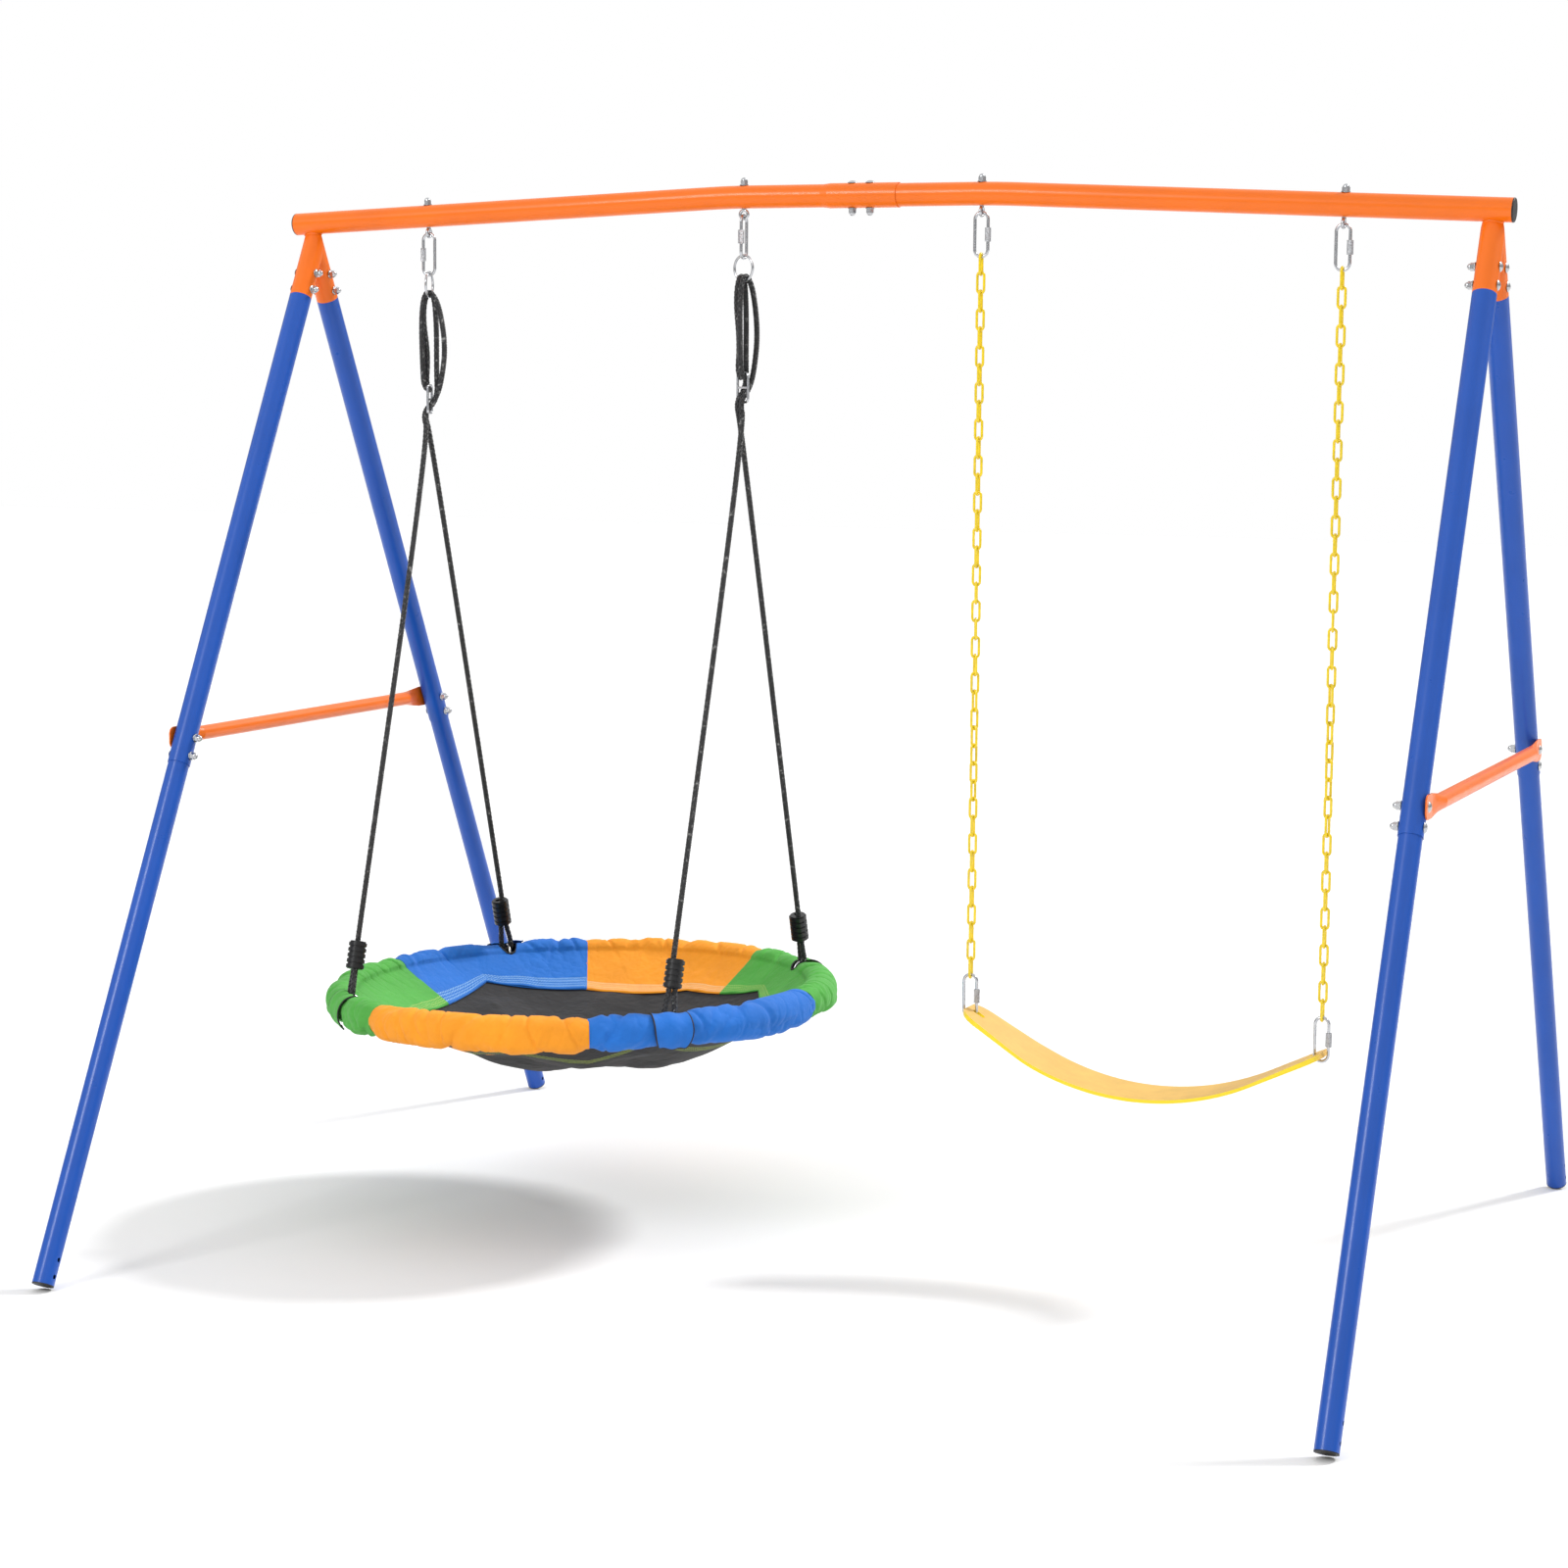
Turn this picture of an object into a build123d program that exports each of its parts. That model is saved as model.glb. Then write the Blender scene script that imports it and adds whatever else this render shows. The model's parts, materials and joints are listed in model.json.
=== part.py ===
"""Backyard swing set: two A-frames, a bent top bar, a saucer swing and a belt swing.

Millimetres, +Z up.  The origin is on the ground under the middle of the top bar.
+X runs along the top bar to the belt swing, and -Y is the front.
"""
import os
from math import atan2, cos, degrees, pi, radians, sin, sqrt, tan

from build123d import *

os.makedirs("parts", exist_ok=True)

# ---------------------------------------------------------------- overall sizes
bar_height = 2022.0            # centre line of the level middle of the top bar
bar_half_length = 1236.0
bar_bend_x = 270.0             # the bar is level inside this, and falls outside it
bar_bend_angle = 2.5
bar_bend_radius = 2000.0
frame_half_spacing = 1200.0    # from the middle of the bar to each A-frame
leg_angle = 27.4               # each leg from the vertical
apex_drop = 48.0               # the leg axes cross this far under the bar's centre line
saucer_hanger_x = (-934.0, -243.0)
belt_hanger_x = (243.0, 934.0)

# ---------------------------------------------------------------- tubes and sockets
tube_od = 44.0
bar_wall = 1.5
leg_wall = 1.2
slip_clearance = 0.2           # radial gap of one tube inside another
socket_length = 115.0          # from the crossing of the axes to the socket's lower end
neck_length = 68.0             # reduced top of the upper leg, inside the socket
upper_leg_length = 1020.0      # full-diameter length, from the socket down to the seam
lower_insert = 85.0            # lower leg inside the upper leg
joint_half_length = 77.0       # widened end of the left bar half, each side of the middle
joint_flare = 14.0
joint_insert = 62.0            # how far the right bar half runs past the middle
cap_flange = 3.0
cap_depth = 22.0
anchor_hole_d = 8.5
anchor_hole_steps = (16.0, 48.0)   # distances of the two anchor holes from the tube end

# ---------------------------------------------------------------- fasteners
bolt_d = 8.0
hole_clearance = 0.2           # radial gap round a bolt
head_r = 9.5
head_height = 4.5
nut_width = 13.0               # across the flats
nut_height = 7.5
washer_r = 8.5
washer_height = 1.6
bolt_edge = 18.0               # last bolt to the end of the outer tube
bolt_pitch = 37.0
bar_bolt_half_pitch = 18.0

# ---------------------------------------------------------------- crossbars
crossbar_od = 28.0
crossbar_wall = 1.2
crossbar_flat_width = 42.0
crossbar_flat_height = 2.6
crossbar_flat_length = 46.0    # flat stretch at each end
crossbar_press_length = 60.0   # where round tube runs out into the flat
crossbar_overhang = 20.0       # past the bolt

# ---------------------------------------------------------------- hangers
eye_major_r = 8.0
eye_wire_r = 3.0
hang_gap = 0.3                 # between a hanging piece and what it hangs on
link_wire_r = 3.0
link_length = 88.0             # outside length of a quick link
link_width = 32.0
link_gap = 8.0                 # opening in the side, closed by the sleeve nut
link_gap_drop = 7.0            # middle of the opening below the middle of the link
sleeve_length = 26.0
sleeve_width = 10.5
sleeve_clearance = 0.3
ring_major_r = 24.5
ring_wire_r = 2.5

# ---------------------------------------------------------------- saucer ropes
rope_d = 10.0
rope_side = 5.15               # two ropes lie side by side at plus and minus this
adjuster_drop = 177.0          # big ring's lower wire to the adjuster's top wire
adjuster_height = 56.0         # between wire centres
adjuster_width = 28.0
adjuster_corner = 7.0
fork_drop = 274.0              # big ring's lower wire to where the two ropes part
loop_gap = 2.8                 # between a rope's loop and the rim ring it holds
loop_side_gap = 2.2            # the same, at the loop's two sides
clamp_length = 55.0
clamp_r = 15.5
clamp_rib_r = 18.0
clamp_ribs = 5
clamp_rise = 62.0              # bottom of the rope loop to the clamp

# ---------------------------------------------------------------- saucer
rim_centre_z = 443.0
rim_r = 480.0
rim_tube_r = 11.0
rim_wall = 1.5
saucer_tilt = 1.25             # the belt-swing side hangs a little higher
rim_ring_room = 4.0            # slack inside a rim ring, past the tube and one rope
foam_r = 23.0
cover_skin = 1.6
fabric_gap = 0.3
skirt_inner_r = 398.0
skirt_inner_drop = 31.0
mat_r = 404.0
mat_sag = 106.0                # bottom of the mat below its edge
mat_thickness = 2.2
notch_length = 36.0            # gap in foam and cover where a rope ring goes round the rim

# ---------------------------------------------------------------- belt swing
chain_links = 40
chain_inner_length = 34.5
chain_wire_r = 2.5
chain_width = 18.5
chain_gap = 0.2
twist_first = 16               # the chain takes its quarter twist over these links
twist_last = 31
seat_width = 140.0
seat_bend_r = 500.0
seat_bend_half_angle = 28.0
seat_thickness = 6.5
seat_end_thickness = 10.0
seat_end_width = 92.0
seat_taper = 150.0             # length over which the seat narrows to its end
seat_slot_width = 14.0
seat_slot_length = 25.0        # along the seat
seat_slot_corner = 4.0
seat_slot_edge = 12.0          # slot to the end of the seat
seat_taper_r = 150.0
seat_tip_r = 42.0
strip_settle = 1.0             # the end strip lies this far under the middle of the link's bend


def bar_z(x):
    """Height of the top bar's centre line."""
    return bar_height - max(0.0, abs(x) - bar_bend_x) * tan(radians(bar_bend_angle))


def bar_normal(x):
    """Direction square to the bar, upwards."""
    lean = radians(bar_bend_angle) if abs(x) > bar_bend_x else 0.0
    return Vector((1 if x > 0 else -1) * sin(lean), 0, cos(lean))


def save(part, name):
    part.label = name
    export_step(part, f"parts/{name}.step")


# ================================================================ top bar
bar_r = tube_od / 2
bar_end_z = bar_z(bar_half_length)
joint_inner_r = bar_r + slip_clearance
joint_outer_r = joint_inner_r + bar_wall
bolt_r = bolt_d / 2
bolt_hole_r = bolt_r + hole_clearance


def bar_hole_planes(xs):
    """Planes square to each hanger bolt, at the bar's centre line."""
    return [Plane(origin=(x, 0, bar_z(x)), z_dir=bar_normal(x)) for x in xs]


def bent_tube(inner_x, outer_x):
    """One half of the top bar, as a tube along its bent centre line."""
    with BuildPart() as tube:
        with BuildLine() as route:
            FilletPolyline(
                (inner_x, 0, bar_height),
                ((1 if outer_x > 0 else -1) * bar_bend_x, 0, bar_height),
                (outer_x, 0, bar_end_z),
                radius=bar_bend_radius,
            )
        with BuildSketch(Plane(origin=route.line @ 0, z_dir=route.line % 0)):
            Circle(bar_r)
            Circle(bar_r - bar_wall, mode=Mode.SUBTRACT)
        sweep()
    return tube.part


with BuildPart() as top_bar_left:
    add(bent_tube(-joint_half_length, -bar_half_length))
    # the end is widened so that the other half slides in
    with BuildSketch(Plane.XZ):
        with BuildLine():
            Polyline(
                (-joint_half_length, bar_height + bar_r - bar_wall),
                (-joint_half_length, bar_height + bar_r),
                (-joint_half_length + joint_flare, bar_height + joint_outer_r),
                (joint_half_length, bar_height + joint_outer_r),
                (joint_half_length, bar_height + joint_inner_r),
                (-joint_half_length + joint_flare, bar_height + joint_inner_r),
                close=True,
            )
        make_face()
    revolve(axis=Axis((0, 0, bar_height), (1, 0, 0)))
    with Locations(*[p.location for p in bar_hole_planes(saucer_hanger_x)]):
        Cylinder(bolt_hole_r, tube_od * 2, mode=Mode.SUBTRACT)
    with Locations((-bar_bolt_half_pitch, 0, bar_height), (bar_bolt_half_pitch, 0, bar_height)):
        Cylinder(bolt_hole_r, tube_od * 2, mode=Mode.SUBTRACT)
save(top_bar_left.part, "top_bar_left")

with BuildPart() as top_bar_right:
    add(bent_tube(-joint_insert, bar_half_length))
    with Locations(*[p.location for p in bar_hole_planes(belt_hanger_x)]):
        Cylinder(bolt_hole_r, tube_od * 2, mode=Mode.SUBTRACT)
    with Locations((-bar_bolt_half_pitch, 0, bar_height), (bar_bolt_half_pitch, 0, bar_height)):
        Cylinder(bolt_hole_r, tube_od * 2, mode=Mode.SUBTRACT)
save(top_bar_right.part, "top_bar_right")

with BuildPart() as bar_end_caps:
    for side in (-1, 1):
        end_plane = Plane(
            origin=(side * bar_half_length, 0, bar_end_z),
            z_dir=(side * cos(radians(bar_bend_angle)), 0, -sin(radians(bar_bend_angle))),
        )
        with BuildPart(mode=Mode.PRIVATE) as bar_cap:
            with BuildSketch(end_plane):
                Circle(bar_r)
            extrude(amount=cap_flange)
            outer_face = bar_cap.faces().sort_by(Axis.X)[-1 if side > 0 else 0]
            fillet(outer_face.edges(), radius=cap_flange * 0.6)
            with BuildSketch(end_plane):
                Circle(bar_r - bar_wall - slip_clearance)
            extrude(amount=-cap_depth)
        add(bar_cap.part)
save(bar_end_caps.part, "bar_end_caps")

# ================================================================ A-frames
apex_z = bar_z(frame_half_spacing) - apex_drop
lean = radians(leg_angle)
leg_inner_r = bar_r - leg_wall
lower_leg_r = leg_inner_r - slip_clearance
seam_at = socket_length + upper_leg_length
foot_at = (apex_z - lower_leg_r * sin(lean)) / cos(lean)     # where the foot plug touches the ground
socket_bolts_at = (socket_length - bolt_edge - bolt_pitch, socket_length - bolt_edge)
seam_bolts_at = (seam_at - bolt_edge - bolt_pitch, seam_at - bolt_edge)
plug_flange = 2.0
corners = [
    (f"{front}_{side}", -1 if side == "left" else 1, -1 if front == "front" else 1)
    for side in ("left", "right")
    for front in ("front", "rear")
]


def leg_plane(side, way, distance):
    """Plane square to a leg, this far down its axis from the crossing point."""
    along = Vector(0, way * sin(lean), -cos(lean))
    return Plane(
        origin=Vector(side * frame_half_spacing, 0, apex_z) + along * distance,
        x_dir=(1, 0, 0),
        z_dir=along,
    )


def cross_plane(side, way, distance):
    """Plane whose normal runs along the bar, through a leg's axis."""
    return Plane(origin=leg_plane(side, way, distance).origin, z_dir=(1, 0, 0))


def cross_holes(side, way, distances, radius):
    """Cut round holes through a leg, along the bar's direction."""
    with Locations(*[cross_plane(side, way, d).location for d in distances]):
        Cylinder(radius, tube_od * 2, mode=Mode.SUBTRACT)


for name, side, way in corners:
    with BuildPart() as socket:
        with BuildSketch(leg_plane(side, way, -tube_od)):
            Circle(bar_r)
        extrude(amount=tube_od + socket_length)
        split(bisect_by=Plane.XZ, keep=Keep.TOP if way < 0 else Keep.BOTTOM)
        # coped to the underside of the top bar
        with BuildSketch(Plane(origin=(side * bar_half_length, 0, bar_end_z),
                               z_dir=(-side * cos(radians(bar_bend_angle)), 0,
                                      sin(radians(bar_bend_angle))))):
            Circle(bar_r)
        extrude(amount=bar_half_length / 4, both=True, mode=Mode.SUBTRACT)
        with BuildSketch(leg_plane(side, way, socket_length)):
            Circle(leg_inner_r)
        extrude(amount=-neck_length - leg_wall, mode=Mode.SUBTRACT)
        cross_holes(side, way, socket_bolts_at, bolt_hole_r)
    save(socket.part, f"leg_socket_{name}")

    with BuildPart() as upper_leg:
        with BuildSketch(leg_plane(side, way, socket_length)):
            Circle(bar_r)
            Circle(leg_inner_r, mode=Mode.SUBTRACT)
        extrude(amount=upper_leg_length)
        # reduced neck that goes up into the socket, with a shoulder under the socket's end
        with BuildSketch(leg_plane(side, way, socket_length - neck_length)):
            Circle(lower_leg_r)
        extrude(amount=neck_length + leg_wall)
        with BuildSketch(leg_plane(side, way, socket_length)):
            Circle(bar_r)
        extrude(amount=leg_wall)
        with BuildSketch(leg_plane(side, way, socket_length - neck_length)):
            Circle(lower_leg_r - leg_wall)
        extrude(amount=neck_length + leg_wall, mode=Mode.SUBTRACT)
        cross_holes(side, way, socket_bolts_at + seam_bolts_at, bolt_hole_r)
    save(upper_leg.part, f"upper_leg_{name}")

    with BuildPart() as lower_leg:
        with BuildSketch(leg_plane(side, way, seam_at - lower_insert)):
            Circle(lower_leg_r)
            Circle(lower_leg_r - leg_wall, mode=Mode.SUBTRACT)
        extrude(amount=foot_at - plug_flange - seam_at + lower_insert)
        cross_holes(side, way, seam_bolts_at, bolt_hole_r)
        cross_holes(side, way, [foot_at - plug_flange - step for step in anchor_hole_steps],
                    anchor_hole_d / 2)
    save(lower_leg.part, f"lower_leg_{name}")

with BuildPart() as foot_plugs:
    for name, side, way in corners:
        with BuildSketch(leg_plane(side, way, foot_at - plug_flange)):
            Circle(lower_leg_r)
        extrude(amount=plug_flange)
        with BuildSketch(leg_plane(side, way, foot_at - plug_flange)):
            Circle(lower_leg_r - leg_wall - slip_clearance)
            Circle(lower_leg_r - 3 * leg_wall, mode=Mode.SUBTRACT)
        extrude(amount=-anchor_hole_steps[0] + anchor_hole_d)
save(foot_plugs.part, "foot_plugs")

# ---------------------------------------------------------------- crossbars
crossbar_bolt = leg_plane(-1, 1, seam_bolts_at[0]).origin
crossbar_half = crossbar_bolt.Y + crossbar_overhang
flat_inner = crossbar_half - crossbar_flat_length
round_inner = flat_inner - crossbar_press_length
crossbar_x = frame_half_spacing + bar_r + crossbar_flat_height / 2

for name, side in (("left", -1), ("right", 1)):
    with BuildPart() as crossbar:
        def section(y):
            return Plane(origin=(side * crossbar_x, y, crossbar_bolt.Z), x_dir=(1, 0, 0), z_dir=(0, 1, 0))

        with BuildSketch(section(-round_inner)):
            Circle(crossbar_od / 2)
            Circle(crossbar_od / 2 - crossbar_wall, mode=Mode.SUBTRACT)
        extrude(amount=2 * round_inner)
        for way in (-1, 1):
            with BuildSketch(section(way * round_inner)):
                Circle(crossbar_od / 2)
            with BuildSketch(section(way * flat_inner)):
                RectangleRounded(crossbar_flat_height, crossbar_flat_width, crossbar_flat_height * 0.45)
            loft()
            flat_face = Plane(origin=(side * crossbar_x - crossbar_flat_height / 2, 0, crossbar_bolt.Z),
                              x_dir=(0, 1, 0), z_dir=(1, 0, 0))
            with BuildSketch(flat_face):
                with Locations((way * (flat_inner + crossbar_flat_length / 2), 0)):
                    RectangleRounded(crossbar_flat_length, crossbar_flat_width,
                                     crossbar_flat_width / 3)
                with Locations((way * (flat_inner + crossbar_flat_length / 4), 0)):
                    Rectangle(crossbar_flat_length / 2, crossbar_flat_width)
            extrude(amount=crossbar_flat_height)
            with Locations(Plane(origin=(side * crossbar_x, way * crossbar_bolt.Y, crossbar_bolt.Z),
                                 z_dir=(1, 0, 0)).location):
                Cylinder(bolt_hole_r, tube_od, mode=Mode.SUBTRACT)
    save(crossbar.part, f"crossbar_{name}")


# ---------------------------------------------------------------- bolts and nuts
def round_head_bolt(grip):
    """Bolt along +Z: the head's underside at the origin, the shank going down."""
    with BuildPart() as bolt:
        Cylinder(bolt_r, grip + washer_height + nut_height, align=(Align.CENTER, Align.CENTER, Align.MAX))
        dome_r = (head_r ** 2 + head_height ** 2) / (2 * head_height)
        with BuildSketch(Plane.XZ):
            with BuildLine():
                Line((0, 0), (head_r, 0))
                RadiusArc((head_r, 0), (0, head_height), -dome_r)
                Line((0, head_height), (0, 0))
            make_face()
        revolve(axis=Axis.Z)
    return bolt.part


def cap_nut():
    """Domed nut on a washer, seated on the origin and pointing along +Z."""
    dome_r = nut_width / 2 - 0.4
    with BuildPart() as nut:
        Cylinder(washer_r, washer_height, align=(Align.CENTER, Align.CENTER, Align.MIN))
        with BuildSketch(Plane.XY.offset(washer_height)):
            RegularPolygon(nut_width / 2, 6, major_radius=False)
        extrude(amount=nut_height)
        with Locations((0, 0, washer_height + nut_height)):
            Sphere(dome_r)
        Cylinder(bolt_r + hole_clearance, washer_height + nut_height + hole_clearance,
                 align=(Align.CENTER, Align.CENTER, Align.MIN), mode=Mode.SUBTRACT)
    return nut.part


def facing(origin, direction):
    return Plane(origin=origin, z_dir=direction).location


leg_bolt_places = []
leg_nut_places = []
crossbar_bolt_places = []
for name, side, way in corners:
    for distance in socket_bolts_at + seam_bolts_at:
        centre = leg_plane(side, way, distance).origin
        head_at = Vector(centre.X + side * bar_r, centre.Y, centre.Z)
        nut_at = Vector(centre.X - side * bar_r, centre.Y, centre.Z)
        leg_nut_places.append(facing(nut_at, (-side, 0, 0)))
        if distance == seam_bolts_at[0]:
            head_at += Vector(side * crossbar_flat_height, 0, 0)
            crossbar_bolt_places.append(facing(head_at, (side, 0, 0)))
        else:
            leg_bolt_places.append(facing(head_at, (side, 0, 0)))

with BuildPart() as leg_bolts:
    with Locations(*leg_bolt_places):
        add(round_head_bolt(tube_od))
save(leg_bolts.part, "leg_bolts")

with BuildPart() as crossbar_bolts:
    with Locations(*crossbar_bolt_places):
        add(round_head_bolt(tube_od + crossbar_flat_height))
save(crossbar_bolts.part, "crossbar_bolts")

with BuildPart() as leg_nuts:
    with Locations(*leg_nut_places):
        add(cap_nut())
save(leg_nuts.part, "leg_nuts")

bar_bolt_xs = (-bar_bolt_half_pitch, bar_bolt_half_pitch)
with BuildPart() as bar_joint_bolts:
    with Locations(*[(x, 0, bar_height + joint_outer_r) for x in bar_bolt_xs]):
        add(round_head_bolt(2 * joint_outer_r))
save(bar_joint_bolts.part, "bar_joint_bolts")

with BuildPart() as bar_joint_nuts:
    with Locations(*[facing((x, 0, bar_height - joint_outer_r), (0, 0, -1)) for x in bar_bolt_xs]):
        add(cap_nut())
save(bar_joint_nuts.part, "bar_joint_nuts")

# ================================================================ hangers
eye_drop = bar_r + hang_gap + eye_major_r + eye_wire_r      # eye centre below the bar's centre line


def eye_centre(x):
    return Vector(x, 0, bar_z(x)) - bar_normal(x) * eye_drop


hangers = (
    ("saucer_left", saucer_hanger_x[0], False),
    ("saucer_right", saucer_hanger_x[1], True),
    ("belt_left", belt_hanger_x[0], False),
    ("belt_right", belt_hanger_x[1], False),
)
for name, x, faces_front in hangers:
    up = bar_normal(x)
    eye_at = eye_centre(x)
    across = Vector(0, 1, 0) if faces_front else Vector(0, 1, 0).cross(up)
    with BuildPart() as eye_bolt:
        with Locations(Plane(origin=eye_at, z_dir=across).location):
            Torus(eye_major_r, eye_wire_r)
        with BuildSketch(Plane(origin=eye_at + up * eye_major_r, z_dir=up)):
            Circle(bolt_r)
        extrude(amount=eye_drop - eye_major_r + bar_r + washer_height + nut_height)
        with Locations(Plane(origin=eye_at, z_dir=across).location):
            Cylinder(eye_major_r - eye_wire_r, bolt_d * 2, mode=Mode.SUBTRACT)
    save(eye_bolt.part, f"eye_bolt_{name}")

with BuildPart() as eye_bolt_nuts:
    with Locations(*[facing(Vector(x, 0, bar_z(x)) + bar_normal(x) * bar_r, bar_normal(x))
                     for _, x, _ in hangers]):
        add(cap_nut())
save(eye_bolt_nuts.part, "eye_bolt_nuts")

link_bend_r = link_width / 2 - link_wire_r
link_half_straight = (link_length - link_width) / 2
link_height = link_length - 2 * link_wire_r               # between the wire centres at top and bottom


def link_plane(top, faces_front, flip=False):
    """Plane of a quick link whose upper wire centre is at top; local X holds the sleeve's side."""
    x_dir = Vector(0, 1, 0) if faces_front else Vector(1, 0, 0)
    if flip:
        x_dir = -x_dir
    return Plane(origin=top - Vector(0, 0, link_height / 2), x_dir=x_dir,
                 z_dir=x_dir.cross(Vector(0, 0, 1)))


def quick_link(plane):
    """Oval wire link, open in the middle of its local +X side."""
    gap_top = -link_gap_drop + link_gap / 2
    gap_bottom = -link_gap_drop - link_gap / 2
    b, h = link_bend_r, link_half_straight
    with BuildPart() as link:
        with BuildLine(plane) as route:
            Line((b, gap_bottom), (b, -h))
            RadiusArc((b, -h), (0, -h - b), b)
            RadiusArc((0, -h - b), (-b, -h), b)
            Line((-b, -h), (-b, h))
            RadiusArc((-b, h), (0, h + b), b)
            RadiusArc((0, h + b), (b, h), b)
            Line((b, h), (b, gap_top))
        with BuildSketch(Plane(origin=route.line @ 0, z_dir=route.line % 0)):
            Circle(link_wire_r)
        sweep()
    return link.part


def sleeve_nut(plane):
    """Long hexagon nut over the link's opening."""
    side_plane = Plane(origin=plane.from_local_coords((link_bend_r, -sleeve_length / 2, 0)),
                       x_dir=plane.x_dir, z_dir=(0, 0, 1))
    with BuildPart() as sleeve:
        with BuildSketch(side_plane):
            RegularPolygon(sleeve_width / 2, 6, major_radius=False)
            Circle(link_wire_r + sleeve_clearance, mode=Mode.SUBTRACT)
        extrude(amount=sleeve_length)
    return sleeve.part


# the upper wire of a link hangs in the eye
link_in_eye = -eye_major_r + eye_wire_r + hang_gap + link_wire_r
upper_links = {}
for name, x, faces_front in hangers:
    top = eye_centre(x) + Vector(0, 0, link_in_eye)
    upper_links[name] = link_plane(top, faces_front, flip=name.startswith("saucer"))
    node = name if name.startswith("saucer") else name.replace("belt", "belt_upper")
    save(quick_link(upper_links[name]), f"{node}_link")
    save(sleeve_nut(upper_links[name]), f"{node}_sleeve")

# ---------------------------------------------------------------- saucer hangers
saucer_x = (eye_centre(saucer_hanger_x[0]).X + saucer_hanger_x[1]) / 2
rope_half_spacing = (saucer_hanger_x[1] - eye_centre(saucer_hanger_x[0]).X) / 2
ring_turn = {"left": 12.0, "right": -21.0}       # each big ring stands a little off square
rope_over = {}                                   # the way the ropes cross each ring's lower wire
rope_beside = {}                                 # along that wire, from the front rope to the rear
ring_wire = {}                                   # lower wire of each big ring


def turned(direction, angle):
    return Vector(direction).rotate(Axis.Z, angle)


def rounded_frame(plane, half_width, half_height, corner, wire_r):
    """Closed wire frame round a rectangle."""
    with BuildPart() as frame:
        with BuildLine(plane) as route:
            FilletPolyline(
                (half_width, -half_height), (half_width, half_height),
                (-half_width, half_height), (-half_width, -half_height),
                radius=corner, close=True,
            )
        with BuildSketch(Plane(origin=route.line @ 0, z_dir=route.line % 0)):
            Circle(wire_r)
        sweep()
    return frame.part


for name in ("left", "right"):
    link = upper_links[f"saucer_{name}"]
    hang_z = link.origin.Z - link_height / 2 + link_wire_r + hang_gap + ring_wire_r
    centre = Vector(link.origin.X, 0, hang_z - ring_major_r)
    normal = turned((1, 0, 0) if name == "left" else (0, 1, 0), ring_turn[name])
    rope_over[name] = normal
    rope_beside[name] = Vector(0, 0, 1).cross(normal)
    with BuildPart() as big_ring:
        with Locations(Plane(origin=centre, z_dir=normal).location):
            Torus(ring_major_r, ring_wire_r)
    save(big_ring.part, f"rope_ring_{name}")
    ring_wire[name] = centre - Vector(0, 0, ring_major_r)

    middle = ring_wire[name] - Vector(0, 0, adjuster_drop + adjuster_height / 2)
    adjuster_plane = Plane(origin=middle, x_dir=rope_beside[name], z_dir=normal)
    bar_plane = Plane(origin=middle, z_dir=rope_beside[name])
    with BuildPart() as adjuster:
        add(rounded_frame(adjuster_plane, adjuster_width / 2, adjuster_height / 2,
                          adjuster_corner, ring_wire_r))
        with Locations(bar_plane.location):
            Cylinder(ring_wire_r * 0.9, adjuster_width)
    save(adjuster.part, f"rope_adjuster_{name}")

# ---------------------------------------------------------------- saucer ropes
rope_r = rope_d / 2
tilt = radians(saucer_tilt)
saucer_plane = Plane(origin=(saucer_x, 0, rim_centre_z), x_dir=(cos(tilt), 0, sin(tilt)),
                     z_dir=(-sin(tilt), 0, cos(tilt)))
rope_angle = degrees(atan2(sqrt(rim_r ** 2 - rope_half_spacing ** 2), rope_half_spacing))
rope_angles = {
    ("front", "left"): 180 + rope_angle,
    ("rear", "left"): 180 - rope_angle,
    ("front", "right"): -rope_angle,
    ("rear", "right"): rope_angle,
}
rim_ring_major_r = rim_tube_r + rope_r + rim_ring_room / 2 + ring_wire_r
rim_ring_rise = rim_ring_major_r - ring_wire_r - rim_tube_r - hang_gap
loop_rise = rim_ring_rise + rim_ring_major_r - ring_wire_r - rope_r - loop_gap


def rim_point(angle, radius, height):
    """Point over the saucer's plane, by angle, radius and height."""
    local = (radius * cos(radians(angle)), radius * sin(radians(angle)), height)
    return saucer_plane.from_local_coords(local)


def corner_radii(points):
    """Bend radius at each inner point: a little under half of the shorter run beside it."""
    radii = []
    for before, here, after in zip(points, points[1:], points[2:]):
        run_in = (here - before).length
        run_out = (after - here).length
        half_turn = radians((here - before).get_angle(after - here)) / 2
        radii.append(0.45 * min(run_in, run_out) / tan(half_turn))
    return radii


# Each rope as it leaves the place where the two part, going up: across and above, in the
# plane of the bar, measured from the big ring's lower wire.  It bows out, goes through the
# adjuster's lower hole, up, over the ring, and down to the adjuster's top wire.
front_strand = [
    (-14, -233), (15, -204), (27, -165), (35, -100), (24, -25),
    (8.2, 8.6), (-8.2, 8.6), (-15.5, -40), (-13, -140), (-10, -185.6), (3, -186.2),
]
rear_strand = [
    (-14, -233), (15, -204), (13, -150), (13.5, -60),
    (8.2, 8.6), (-8.2, 8.6), (-15.5, -40), (-4, -118), (-10, -185.6), (3, -186.2),
]

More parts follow.
